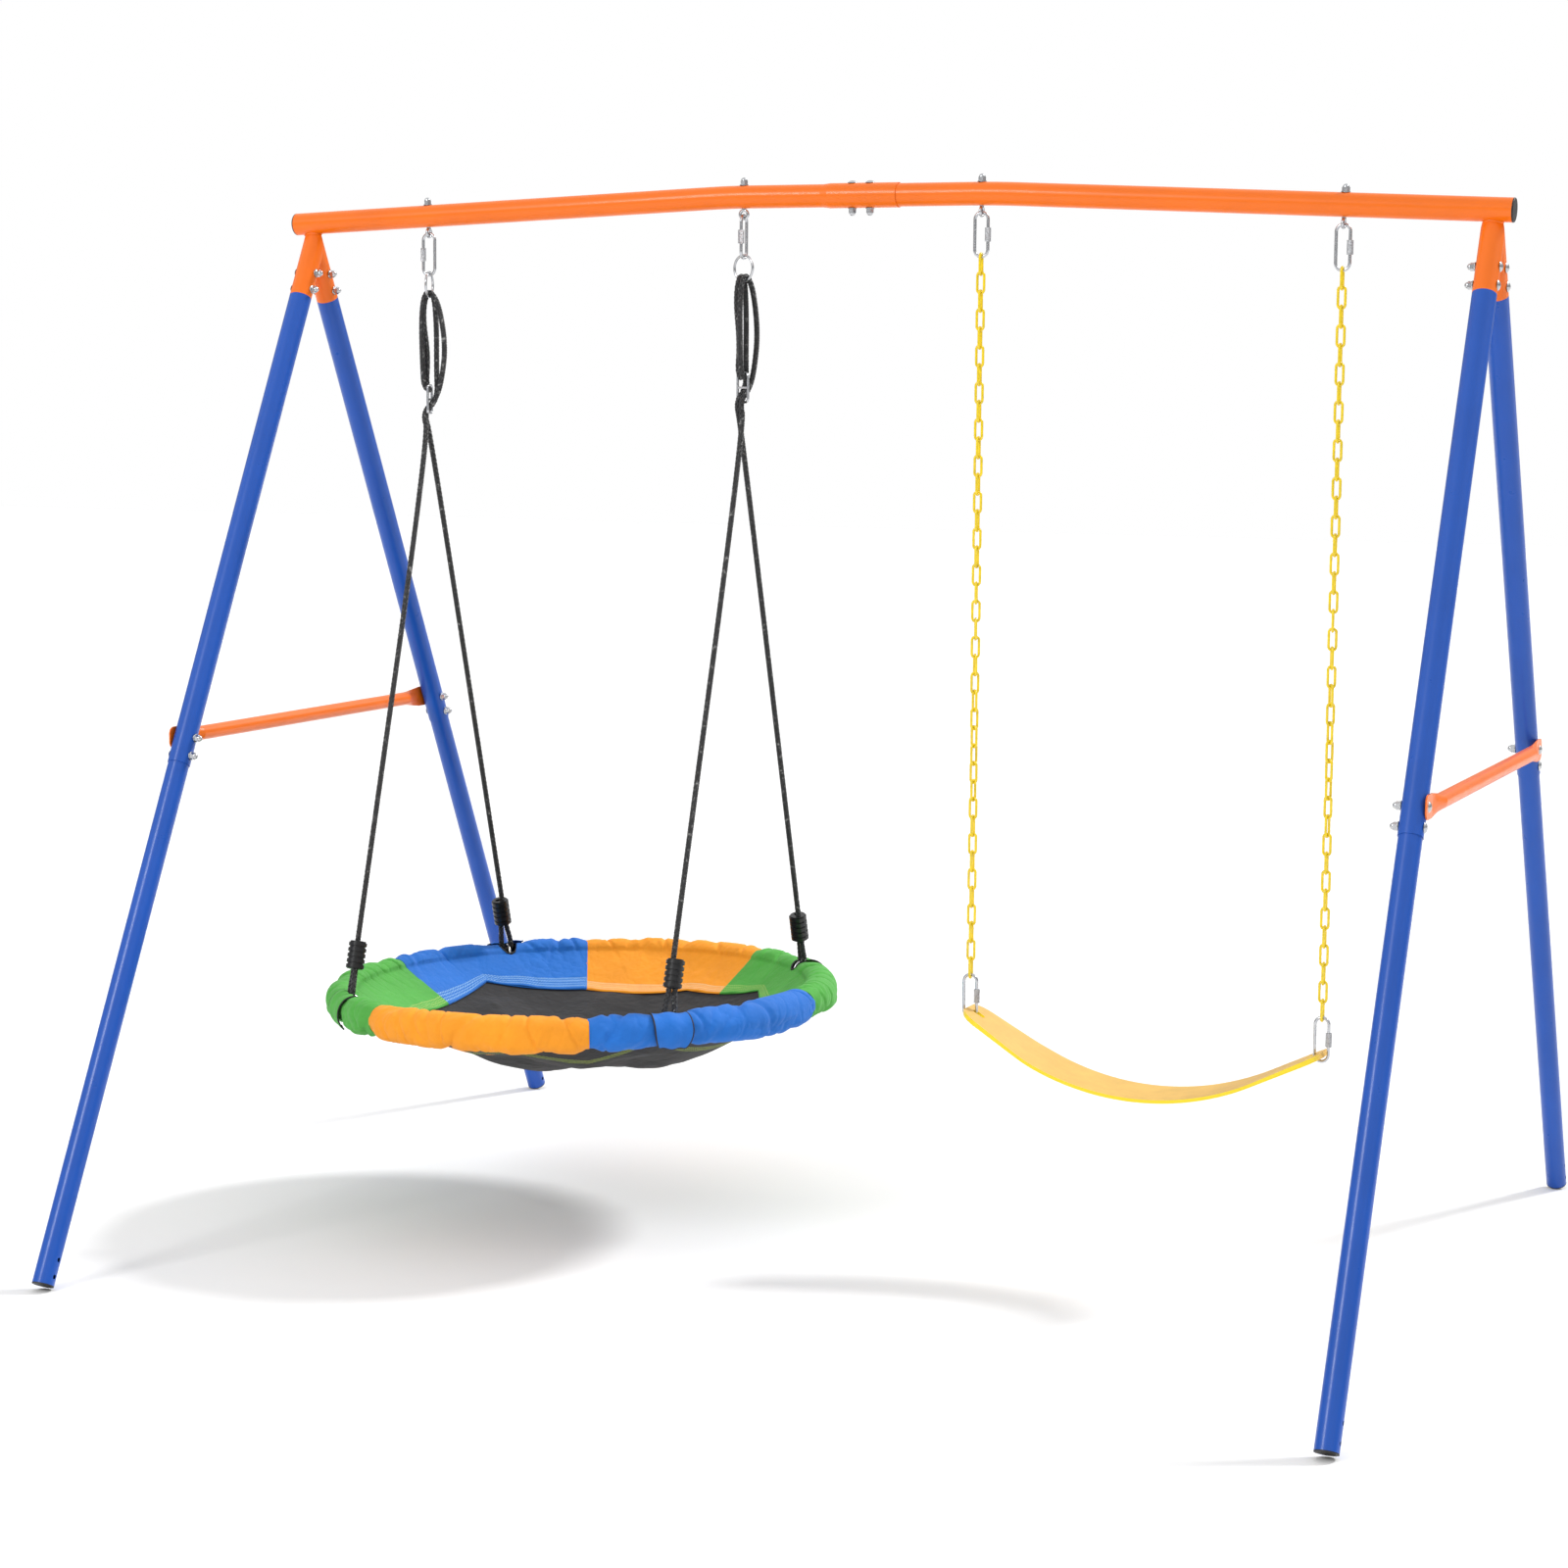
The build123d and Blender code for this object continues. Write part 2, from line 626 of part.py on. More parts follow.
for (way, side), angle in rope_angles.items():
    sign = -1 if way == "front" else 1
    wire = ring_wire[side]
    loop_bottom = rim_point(angle, rim_r, loop_rise)
    beside = rope_beside[side] * (sign * rope_side)
    fork = wire + beside - Vector(0, 0, fork_drop)
    up = (fork - loop_bottom).normalized()
    tangent = saucer_plane.x_dir * -sin(radians(angle)) + saucer_plane.y_dir * cos(radians(angle))
    across = (tangent - up * tangent.dot(up)).normalized()

    def loop_point(out, height):
        return loop_bottom + across * out + up * height

    half_loop = rope_r + ring_wire_r + loop_side_gap
    clamp_top = clamp_rise + clamp_length
    points = [
        loop_point(rope_side, clamp_top - clamp_rib_r / 3),
        loop_point(rope_side, clamp_rise - 6),
        loop_point(half_loop + 0.6, 24),
        loop_point(half_loop, 0),
        loop_point(-half_loop, 0),
        loop_point(-half_loop - 0.6, 24),
        loop_point(-rope_side, clamp_rise - 6),
        loop_point(-rope_side, clamp_top + 8),
        fork,
    ]
    strand = front_strand if way == "front" else rear_strand
    points += [wire + beside + rope_over[side] * x + Vector(0, 0, z) for x, z in strand]
    with BuildPart() as rope:
        with BuildLine() as route:
            FilletPolyline(*points, radius=corner_radii(points))
        with BuildSketch(Plane(origin=route.line @ 0, z_dir=route.line % 0)):
            Circle(rope_r)
        sweep()
    rope_length = sum(edge.length for edge in route.line.edges())
    print(way, side, "rope", round(rope_length), "mm, bends", [round(r, 1) for r in corner_radii(points)],
          "volume over section and length", round(rope.part.volume / (pi * rope_r ** 2 * rope_length), 3))
    save(rope.part, f"rope_{way}_{side}")

    # ribbed clamp round both strands
    clamp_plane = Plane(origin=loop_point(0, clamp_rise), x_dir=across, z_dir=up)
    with BuildPart() as clamp:
        with BuildSketch(clamp_plane):
            Circle(clamp_r)
        extrude(amount=clamp_length)
        rib_step = clamp_length / clamp_ribs
        for i in range(clamp_ribs):
            with BuildSketch(clamp_plane.offset((i + 0.15) * rib_step)):
                Circle(clamp_rib_r)
            extrude(amount=rib_step * 0.6)
        with BuildSketch(clamp_plane):
            SlotOverall(2 * rope_side + rope_d + 2 * hang_gap, rope_d + 2 * hang_gap)
        extrude(amount=clamp_length, mode=Mode.SUBTRACT)
    save(clamp.part, f"rope_clamp_{way}_{side}")

with BuildPart() as rim_rings:
    for angle in rope_angles.values():
        tangent = rim_point(angle + 90, 1, 0) - rim_point(0, 0, 0)
        with Locations(Plane(origin=rim_point(angle, rim_r, rim_ring_rise), z_dir=tangent).location):
            Torus(rim_ring_major_r, ring_wire_r)
save(rim_rings.part, "rim_rings")

# ================================================================ saucer
def around_saucer():
    """Turn the sketch in the saucer's own upright plane all the way round."""
    return Axis(saucer_plane.origin, saucer_plane.z_dir)


saucer_section = Plane(origin=saucer_plane.origin, x_dir=saucer_plane.x_dir,
                       z_dir=saucer_plane.x_dir.cross(saucer_plane.z_dir))


def notch_planes(height):
    return [
        Plane(origin=rim_point(angle, rim_r, height),
              x_dir=rim_point(angle, 1, 0) - rim_point(0, 0, 0), z_dir=saucer_plane.z_dir)
        for angle in rope_angles.values()
    ]


with BuildPart() as rim_tube:
    with BuildSketch(saucer_section):
        with Locations((rim_r, 0)):
            Circle(rim_tube_r)
            Circle(rim_tube_r - rim_wall, mode=Mode.SUBTRACT)
    revolve(axis=around_saucer())
save(rim_tube.part, "rim_tube")

with BuildPart() as rim_foam:
    with BuildSketch(saucer_section):
        with Locations((rim_r, 0)):
            Circle(foam_r)
            Circle(rim_tube_r + fabric_gap, mode=Mode.SUBTRACT)
    revolve(axis=around_saucer())
    for plane in notch_planes(-foam_r):
        with BuildSketch(plane):
            Rectangle(3 * foam_r, notch_length)
        extrude(amount=3 * foam_r, mode=Mode.SUBTRACT)
save(rim_foam.part, "rim_foam")

cover_inner_r = foam_r + fabric_gap
cover_outer_r = cover_inner_r + cover_skin
with BuildPart() as saucer_cover:
    with BuildSketch(saucer_section):
        with Locations((rim_r, 0)):
            Circle(cover_outer_r)
        with BuildLine():
            Polyline(
                (rim_r - cover_inner_r * 0.9, -4),
                (skirt_inner_r, -skirt_inner_drop),
                (skirt_inner_r, -skirt_inner_drop - cover_skin),
                (rim_r - cover_inner_r * 0.7, -4 - 4 * cover_skin),
                close=True,
            )
        make_face()
        with Locations((rim_r, 0)):
            Circle(cover_inner_r, mode=Mode.SUBTRACT)
    revolve(axis=around_saucer())
    # slit over each rope ring
    for plane in notch_planes(0):
        with BuildSketch(plane):
            Rectangle(2 * foam_r, notch_length)
        extrude(amount=3 * foam_r, mode=Mode.SUBTRACT)
save(saucer_cover.part, "saucer_cover")

with BuildPart() as saucer_mat:
    edge_z = -skirt_inner_drop - cover_skin - fabric_gap
    with BuildSketch(saucer_section):
        with BuildLine():
            top_line = Spline((0, edge_z - mat_sag), (mat_r / 2, edge_z - mat_sag * 0.75),
                              (mat_r, edge_z), tangents=((1, 0), (1, 0.5)))
            Line(top_line @ 1, (mat_r, edge_z - mat_thickness))
            Spline((0, edge_z - mat_sag - mat_thickness),
                   (mat_r / 2, edge_z - mat_sag * 0.75 - mat_thickness),
                   (mat_r, edge_z - mat_thickness), tangents=((1, 0), (1, 0.5)))
            Line((0, edge_z - mat_sag - mat_thickness), top_line @ 0)
        make_face()
    revolve(axis=around_saucer())
save(saucer_mat.part, "saucer_mat")

# ================================================================ belt swing
chain_pitch = chain_inner_length - chain_gap
chain_bend_r = (chain_width - 2 * chain_wire_r) / 2
chain_half_straight = chain_inner_length / 2 + chain_wire_r - chain_bend_r


def oval_link(plane):
    """Closed chain link round the plane's origin, long along local Y."""
    b, h = chain_bend_r, chain_half_straight
    with BuildPart() as oval:
        with BuildLine(plane) as route:
            Line((b, -h), (b, h))
            RadiusArc((b, h), (0, h + b), -b)
            RadiusArc((0, h + b), (-b, h), -b)
            Line((-b, h), (-b, -h))
            RadiusArc((-b, -h), (0, -h - b), -b)
            RadiusArc((0, -h - b), (b, -h), -b)
        with BuildSketch(Plane(origin=route.line @ 0, z_dir=route.line % 0)):
            Circle(chain_wire_r)
        sweep()
    return oval.part


def chain_turn(i):
    """How far link i is turned about the vertical; neighbours stand square to each other."""
    share = min(max((i - twist_first) / (twist_last - twist_first), 0.0), 1.0)
    return 90.0 * i + 90.0 * share


lower_links = {}
for name in ("left", "right"):
    upper = upper_links[f"belt_{name}"]
    first_z = upper.origin.Z - link_height / 2 + link_wire_r + hang_gap - chain_inner_length / 2
    with BuildPart() as chain:
        for i in range(chain_links):
            facing_dir = turned((0, 1, 0), chain_turn(i))
            add(oval_link(Plane(origin=(upper.origin.X, 0, first_z - i * chain_pitch),
                                x_dir=facing_dir, z_dir=facing_dir.cross(Vector(0, 0, 1)))))
    save(chain.part, f"chain_{name}")
    last_z = first_z - (chain_links - 1) * chain_pitch
    lower_top = Vector(upper.origin.X, 0, last_z - chain_inner_length / 2 + hang_gap + link_wire_r)
    lower_links[name] = link_plane(lower_top, False)
    save(quick_link(lower_links[name]), f"belt_lower_{name}_link")
    save(sleeve_nut(lower_links[name]), f"belt_lower_{name}_sleeve")

# ---------------------------------------------------------------- belt seat

# The seat is bent in the plane of the bar: an arc with a straight tail at each end.  Its
# own frame has the middle of its lowest part at the origin, and X along the line between
# the two lower links.  The strip outside each slot lies in the bottom bend of its link.
bend = radians(seat_bend_half_angle)
link_left = lower_links["left"].origin
link_right = lower_links["right"].origin
hang_line = (link_right - link_left).normalized()
seat_up = Vector(-hang_line.Z, 0, hang_line.X)
half_span = (link_right - link_left).length / 2
strip_rest = (link_left + link_right) / 2 - Vector(0, 0, link_half_straight + strip_settle)
seat_tail = (half_span - seat_bend_r * sin(bend)) / cos(bend) + seat_slot_edge / 2
seat_end_x = seat_bend_r * sin(bend) + seat_tail * cos(bend)
seat_end_z = seat_bend_r * (1 - cos(bend)) + seat_tail * sin(bend)
strip_z = seat_end_z - seat_slot_edge / 2 * sin(bend)
seat_origin = strip_rest - seat_up * strip_z
seat_side = Plane(origin=seat_origin, x_dir=hang_line, z_dir=hang_line.cross(seat_up))
seat_plan = Plane(origin=seat_origin, x_dir=hang_line, z_dir=seat_up)


def tail_point(side, from_end, above):
    """Point on a tail of the seat, this far in from its end and above its middle line."""
    return (side * (seat_end_x - from_end * cos(bend) - above * sin(bend)),
            seat_end_z - from_end * sin(bend) + above * cos(bend))


def bend_point(side, above):
    """Where the arc meets a tail, above the seat's middle line."""
    return (side * (seat_bend_r - above) * sin(bend),
            seat_bend_r - (seat_bend_r - above) * cos(bend))


with BuildPart() as belt_seat:
    half_t = seat_thickness / 2
    half_end = seat_end_thickness / 2
    with BuildSketch(seat_side):
        with BuildLine():
            Line(bend_point(1, -half_t), tail_point(1, 0, -half_end))
            Line(tail_point(1, 0, -half_end), tail_point(1, 0, half_end))
            Line(tail_point(1, 0, half_end), bend_point(1, half_t))
            ThreePointArc(bend_point(1, half_t), (0, half_t), bend_point(-1, half_t))
            Line(bend_point(-1, half_t), tail_point(-1, 0, half_end))
            Line(tail_point(-1, 0, half_end), tail_point(-1, 0, -half_end))
            Line(tail_point(-1, 0, -half_end), bend_point(-1, -half_t))
            ThreePointArc(bend_point(-1, -half_t), (0, -half_t), bend_point(1, -half_t))
        make_face()
    extrude(amount=seat_width / 2, both=True)
    # plan outline: full width in the middle, narrower rounded ends
    tip_x = tail_point(1, 0, -half_end)[0]
    taper_x = tip_x - seat_taper
    half_w, half_tip = seat_width / 2, seat_end_width / 2
    with BuildSketch(seat_plan):
        with BuildLine():
            FilletPolyline(
                (taper_x, half_w), (-taper_x, half_w), (-tip_x, half_tip), (-tip_x, -half_tip),
                (-taper_x, -half_w), (taper_x, -half_w), (tip_x, -half_tip), (tip_x, half_tip),
                radius=[seat_taper_r, seat_taper_r, seat_tip_r, seat_tip_r] * 2,
                close=True,
            )
        make_face()
    extrude(amount=2 * seat_end_z, both=True, mode=Mode.INTERSECT)
    for side in (-1, 1):
        slot_at = tail_point(side, seat_slot_edge + seat_slot_length / 2, 0)
        slot_plane = Plane(
            origin=seat_side.from_local_coords((*slot_at, 0)),
            x_dir=(0, 1, 0),
            z_dir=hang_line * (-side * sin(bend)) + seat_up * cos(bend),
        )
        with BuildSketch(slot_plane):
            RectangleRounded(seat_slot_width, seat_slot_length, seat_slot_corner)
        extrude(amount=seat_end_thickness, both=True, mode=Mode.SUBTRACT)
save(belt_seat.part, "belt_seat")
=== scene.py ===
"""Looks of the garden swing set: paint, rope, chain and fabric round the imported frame."""
import json
import math

import bmesh
import bpy
from mathutils import Matrix, Vector, noise


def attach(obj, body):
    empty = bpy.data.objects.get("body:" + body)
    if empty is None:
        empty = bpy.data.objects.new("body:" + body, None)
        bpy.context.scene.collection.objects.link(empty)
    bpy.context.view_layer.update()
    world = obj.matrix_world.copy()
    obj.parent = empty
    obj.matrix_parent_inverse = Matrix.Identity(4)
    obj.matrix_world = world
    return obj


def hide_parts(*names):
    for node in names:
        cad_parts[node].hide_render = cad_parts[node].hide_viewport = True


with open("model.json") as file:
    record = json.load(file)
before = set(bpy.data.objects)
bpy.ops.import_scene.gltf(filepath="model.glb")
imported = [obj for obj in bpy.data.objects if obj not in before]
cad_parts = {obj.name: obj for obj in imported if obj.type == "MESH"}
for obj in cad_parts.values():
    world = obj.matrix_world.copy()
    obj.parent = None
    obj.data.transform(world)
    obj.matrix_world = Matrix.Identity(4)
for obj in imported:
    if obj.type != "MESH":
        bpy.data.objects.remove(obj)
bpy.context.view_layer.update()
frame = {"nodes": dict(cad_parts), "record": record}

# ---------------------------------------------------------------- sizes, in metres
SAUCER_X = -0.58777
RIM_Z = 0.443
RIM_R = 0.480
TILT = math.radians(1.25)
SLEEVE_R = 0.0248
SLEEVE_CLOTH = 0.0011
SKIRT_R = 0.398
MAT_R = 0.403
MAT_CLOTH = 0.0016
MAT_SAG = 0.114
MAT_EDGE_Z = -0.034
MAT_LOW = (0.08, -0.05)            # deepest place of the mat, from the saucer's middle
SLIT_HALF_LENGTH = 0.020           # opening in the sleeve over a rope ring
SLIT_HALF_WIDTH = 0.0265
PIPING_R = 0.0019
FLAP_HALF_WIDTH = 0.036
FLAP_HALF_LENGTH = 0.034
FLAP_SHARES = (0.415, 0.665)       # where the tab starts and ends on the sleeve's section
FLAP_CLOTH = 0.0014
ROPE_D = 0.010
ROPE_ANGLE = 44.087
ROPE_SIDE = 0.00515
RINGS = {"left": Vector((-0.93255, 0, 1.83284)), "right": Vector((-0.243, 0, 1.8618))}
RING_TURN = {"left": 12.0, "right": 69.0}
FORK_DROP = 0.274
CLAMP_RISE = 0.062
CLAMP_LENGTH = 0.055
RIM_RING_RISE = 0.0067             # middle of a rim ring over the middle of the rim tube
RIM_RING_R = 0.0205
RIM_WIRE_R = 0.0025
ROPE_LOOP_GAP = 0.0028
ROPE_LOOP_HALF = 0.0097
BRAID_PITCH = 0.040
BRAID_STEP = 0.0020
STRANDS = 4                        # wound each way
STRAND_SIDES = 6
BAR_R = 0.022
BAR_HEIGHT = 2.022
BAR_BEND_X = 0.270
BAR_FALL = math.tan(math.radians(2.5))
FRAME_HALF_SPACING = 1.2
LEG_LEAN = math.radians(27.4)
LEG_APEX_DROP = 0.048
WELD_R = 0.0027


# ================================================================ camera, light, floor
CAMERA_PLACE = (2.412, -6.093, 1.671)
CAMERA_TURNS = (0.398, 0.118, 0.008)     # to the left, downwards, and about the view
CAMERA_LENS = 78.1


def build_camera():
    """Camera in front and to the right, looking a little down."""
    yaw, pitch, roll = CAMERA_TURNS
    ahead = Vector((-math.sin(yaw), math.cos(yaw), 0))
    right = Vector((math.cos(yaw), math.sin(yaw), 0))
    up = Vector((0, 0, 1))
    forward = ahead * math.cos(pitch) - up * math.sin(pitch)
    up = up * math.cos(pitch) + ahead * math.sin(pitch)
    right, up = right * math.cos(roll) + up * math.sin(roll), up * math.cos(roll) - right * math.sin(roll)
    bpy.ops.object.camera_add(location=CAMERA_PLACE)
    camera = bpy.context.object
    turn = Matrix((right, up, -forward)).transposed().to_4x4()
    camera.matrix_world = Matrix.Translation(camera.location) @ turn
    camera.data.sensor_width = 36
    camera.data.lens = CAMERA_LENS
    camera.data.clip_end = 100
    bpy.context.scene.camera = camera


def area_light(name, place, aim, size, power):
    bpy.ops.object.light_add(type="AREA", location=place)
    light = bpy.context.object
    light.name = name
    light.data.shape = "SQUARE"
    light.data.size = size
    light.data.energy = power
    light.rotation_euler = (Vector(aim) - Vector(place)).to_track_quat("-Z", "Y").to_euler()


def build_floor():
    bpy.ops.mesh.primitive_plane_add(size=60, location=(0, 0, -0.001))
    floor = bpy.context.object
    floor.name = "floor"
    floor.data.materials.append(plain("floor_paper", (0.86, 0.86, 0.86), roughness=0.9))


def build_room():
    """Pale room with a darker band low down, in front of a white backdrop."""
    world = bpy.data.worlds.new("studio")
    bpy.context.scene.world = world
    bpy.context.scene.view_settings.view_transform = "Standard"
    world.use_nodes = True
    tree = world.node_tree
    room = tree.nodes["Background"]
    direction = tree.nodes.new("ShaderNodeTexCoord")
    split = tree.nodes.new("ShaderNodeSeparateXYZ")
    shades = tree.nodes.new("ShaderNodeValToRGB")
    for place, level in ((0.0, 0.42), (0.22, 0.34), (0.42, 0.90), (1.0, 1.0)):
        stop = shades.color_ramp.elements[0] if place == 0.0 else shades.color_ramp.elements.new(place)
        stop.color = (level, level, level, 1)
    tree.links.new(direction.outputs["Generated"], split.inputs[0])
    tree.links.new(split.outputs["Z"], shades.inputs[0])
    tree.links.new(shades.outputs["Color"], room.inputs["Color"])
    room.inputs["Strength"].default_value = 1.0
    backdrop = tree.nodes.new("ShaderNodeBackground")
    seen = tree.nodes.new("ShaderNodeLightPath")
    choice = tree.nodes.new("ShaderNodeMixShader")
    tree.links.new(seen.outputs["Is Camera Ray"], choice.inputs["Fac"])
    tree.links.new(room.outputs[0], choice.inputs[1])
    tree.links.new(backdrop.outputs[0], choice.inputs[2])
    backdrop.inputs["Color"].default_value = (1, 1, 1, 1)
    tree.links.new(choice.outputs[0], tree.nodes["World Output"].inputs["Surface"])


def build_lights():
    """Broad sun from behind on the right, and a soft front light."""
    bpy.ops.object.light_add(type="SUN", location=(3.7, 4.4, 5.0))
    sun = bpy.context.object
    sun.name = "key_light"
    sun.data.energy = 2.2
    sun.data.angle = math.radians(9)
    sun.rotation_euler = Vector((-0.44, -0.56, -0.62)).to_track_quat("-Z", "Y").to_euler()
    area_light("front_light", (-3.0, -6.5, 5.2), (0, 0, 0.9), 2.2, 190)


# ================================================================ materials
class Nodes:
    """A new material and short ways to add nodes to it."""

    def __init__(self, name, colour, roughness=0.5, metallic=0.0, **shader):
        self.material = bpy.data.materials.new(name)
        self.material.use_nodes = True
        self.tree = self.material.node_tree
        self.bsdf = self.tree.nodes["Principled BSDF"]
        self.bsdf.inputs["Base Color"].default_value = (*colour, 1)
        self.bsdf.inputs["Roughness"].default_value = roughness
        self.bsdf.inputs["Metallic"].default_value = metallic
        for key, value in shader.items():
            self.bsdf.inputs[key.replace("_", " ")].default_value = value
        self.material.diffuse_color = (*colour, 1)

    def add(self, kind, **values):
        node = self.tree.nodes.new(kind)
        for key, value in values.items():
            setattr(node, key, value)
        return node

    def link(self, a, b):
        self.tree.links.new(a, b)

    def place(self, uv=None):
        if uv:
            return self.add("ShaderNodeUVMap", uv_map=uv).outputs["UV"]
        return self.add("ShaderNodeTexCoord").outputs["Object"]

    def noise(self, where, scale, detail=4.0, rough=0.55):
        node = self.add("ShaderNodeTexNoise")
        node.inputs["Scale"].default_value = scale
        node.inputs["Detail"].default_value = detail
        node.inputs["Roughness"].default_value = rough
        self.link(where, node.inputs["Vector"])
        return node.outputs["Fac"]

    def math(self, kind, a, b=None):
        node = self.add("ShaderNodeMath", operation=kind)
        for slot, value in enumerate((a, b)):
            if value is None:
                continue
            if isinstance(value, (int, float)):
                node.inputs[slot].default_value = value
            else:
                self.link(value, node.inputs[slot])
        return node.outputs[0]

    def ramp(self, fac, stops):
        node = self.add("ShaderNodeValToRGB")
        while len(node.color_ramp.elements) < len(stops):
            node.color_ramp.elements.new(0.5)
        for element, (at, colour) in zip(node.color_ramp.elements, stops):
            element.position = at
            element.color = (*colour, 1) if len(colour) == 3 else colour
        self.link(fac, node.inputs["Fac"])
        return node.outputs["Color"]

    def mix(self, fac, a, b):
        node = self.add("ShaderNodeMix", data_type="RGBA")
        for socket, value in ((0, fac), (6, a), (7, b)):
            if isinstance(value, (int, float)):
                node.inputs[socket].default_value = value
            elif isinstance(value, tuple):
                node.inputs[socket].default_value = (*value, 1)
            else:
                self.link(value, node.inputs[socket])
        return node.outputs[2]

    def bump(self, height, strength, distance):
        node = self.add("ShaderNodeBump")
        node.inputs["Strength"].default_value = strength
        node.inputs["Distance"].default_value = distance
        self.link(height, node.inputs["Height"])
        last = self.bsdf.inputs["Normal"].links
        if last:
            self.link(last[0].from_socket, node.inputs["Normal"])
        self.link(node.outputs["Normal"], self.bsdf.inputs["Normal"])

    def colour(self, socket):
        self.link(socket, self.bsdf.inputs["Base Color"])

    def roughness(self, fac, low, high):
        node = self.add("ShaderNodeMapRange")
        node.inputs["To Min"].default_value = low
        node.inputs["To Max"].default_value = high
        self.link(fac, node.inputs["Value"])
        self.link(node.outputs[0], self.bsdf.inputs["Roughness"])


def shade(colour, factor):
    return tuple(min(1.0, c * factor) for c in colour)


def plain(name, colour, roughness):
    """Even paper with a barely uneven tone."""
    made = Nodes(name, colour, roughness)
    where = made.place()
    grain = made.noise(where, 3.0)
    made.colour(made.ramp(grain, ((0.3, shade(colour, 0.985)), (0.7, colour))))
    return made.material


def powder_paint(name, colour, roughness):
    """Glossy powder coat: faint orange peel, a little unevenness and fine specks."""
    made = Nodes(name, colour, roughness, Coat_Weight=0.12, Coat_Roughness=0.06, Specular_IOR_Level=0.35)
    where = made.place()
    drift = made.noise(where, 7.0, 3.0)
    tone = made.ramp(drift, ((0.3, shade(colour, 0.93)), (0.7, shade(colour, 1.04))))
    specks = made.noise(where, 900.0, 2.0)
    dust = made.ramp(specks, ((0.70, (0, 0, 0)), (0.78, (1, 1, 1))))
    tone = made.mix(made.math("MULTIPLY", dust, 0.10), tone, shade(colour, 0.55))
    made.colour(tone)
    peel = made.noise(where, 260.0, 2.0)
    made.bump(peel, 0.10, 0.0006)
    made.roughness(made.noise(where, 40.0), roughness * 0.75, roughness * 1.3)
    return made.material


def zinc(name, tint, roughness=0.22):
    """Bright zinc plate with a fine grain and faint clouding."""
    made = Nodes(name, tint, roughness, metallic=1.0)
    where = made.place()
    cloud = made.noise(where, 120.0, 5.0)
    made.colour(made.ramp(cloud, ((0.25, shade(tint, 0.78)), (0.7, tint))))
    made.roughness(made.noise(where, 420.0, 3.0), roughness * 0.6, roughness * 1.7)
    made.bump(made.noise(where, 900.0, 2.0), 0.08, 0.0003)
    return made.material


def knurled(name, tint):
    """Zinc sleeve with a fine criss-cross knurl round it."""
    made = Nodes(name, tint, 0.3, metallic=1.0)
    where = made.place()
    split = made.add("ShaderNodeSeparateXYZ")
    made.link(where, split.inputs[0])
    across = made.math("ADD", split.outputs["X"], split.outputs["Y"])
    one = made.math("SINE", made.math("MULTIPLY", made.math("ADD", across, split.outputs["Z"]), 4200.0))
    two = made.math("SINE", made.math("MULTIPLY", made.math("SUBTRACT", across, split.outputs["Z"]), 4200.0))
    made.bump(made.math("MAXIMUM", one, two), 0.5, 0.0004)
    made.colour(made.ramp(made.noise(where, 300.0), ((0.3, shade(tint, 0.55)), (0.7, tint))))
    return made.material


def moulded(name, colour, roughness, grain_scale=700.0, grain=0.15):
    """Moulded plastic with a fine sand-blasted grain."""
    made = Nodes(name, colour, roughness)
    where = made.place()
    made.colour(made.ramp(made.noise(where, 30.0), ((0.3, shade(colour, 0.85)), (0.75, shade(colour, 1.15)))))
    made.bump(made.noise(where, grain_scale, 2.0), grain, 0.0004)
    made.roughness(made.noise(where, 60.0), roughness * 0.85, roughness * 1.15)
    return made.material


def seat_plastic(name, face, edge):
    """Flexible moulding: a lightly scuffed, duller upper face, and cut edges painted a brighter yellow by the
    way they face, as painted light.
    """
    made = Nodes(name, face, 0.42)
    where = made.place()
    normal = made.add("ShaderNodeNewGeometry")
    split = made.add("ShaderNodeSeparateXYZ")
    made.link(normal.outputs["Normal"], split.inputs[0])
    # faces turned to the front or back are mixed to the brighter edge colour: painted light, set by the world
    # direction they face
    sideways = made.math("ABSOLUTE", split.outputs["Y"])
    rim = made.ramp(sideways, ((0.35, (0, 0, 0)), (0.75, (1, 1, 1))))
    scuff = made.ramp(made.noise(where, 22.0, 8.0, 0.7), ((0.35, shade(face, 0.86)), (0.65, face)))
    made.colour(made.mix(rim, scuff, edge))
    made.bump(made.noise(where, 650.0, 2.0), 0.12, 0.0005)
    return made.material


def coated_chain(name, colour):
    """Soft dipped coating: wet gloss, slightly lumpy, a little darker in places."""
    made = Nodes(name, colour, 0.24, Coat_Weight=0.3, Coat_Roughness=0.1)
    where = made.place()
    made.colour(made.ramp(made.noise(where, 90.0, 3.0), ((0.3, shade(colour, 0.82)), (0.65, colour))))
    made.bump(made.noise(where, 180.0, 2.0), 0.2, 0.0008)
    return made.material


def rope_yarn(name, colour, tracer_and_glint):
    """Glossy black filament yarn with pale flecks that are partly tracer yarn and partly painted highlights
    for glints on the braid.
    """
    made = Nodes(name, colour, 0.42, Sheen_Weight=0.15)
    where = made.place(uv="lay")
    split = made.add("ShaderNodeSeparateXYZ")
    made.link(where, split.inputs[0])
    fine = made.math("SINE", made.math("MULTIPLY", split.outputs["Y"], 60.0))
    made.bump(fine, 0.35, 0.0004)
    # pale spots scattered all over the rope: partly a tracer yarn's colour, partly painted highlights
    # standing in for glints
    tracer_and_glint_spots = made.noise(made.place(), 110.0, 3.0, 0.7)
    tone = made.ramp(tracer_and_glint_spots, ((0.50, colour), (0.60, shade(colour, 2.2)), (0.68, tracer_and_glint)))
    made.colour(tone)
    return made.material


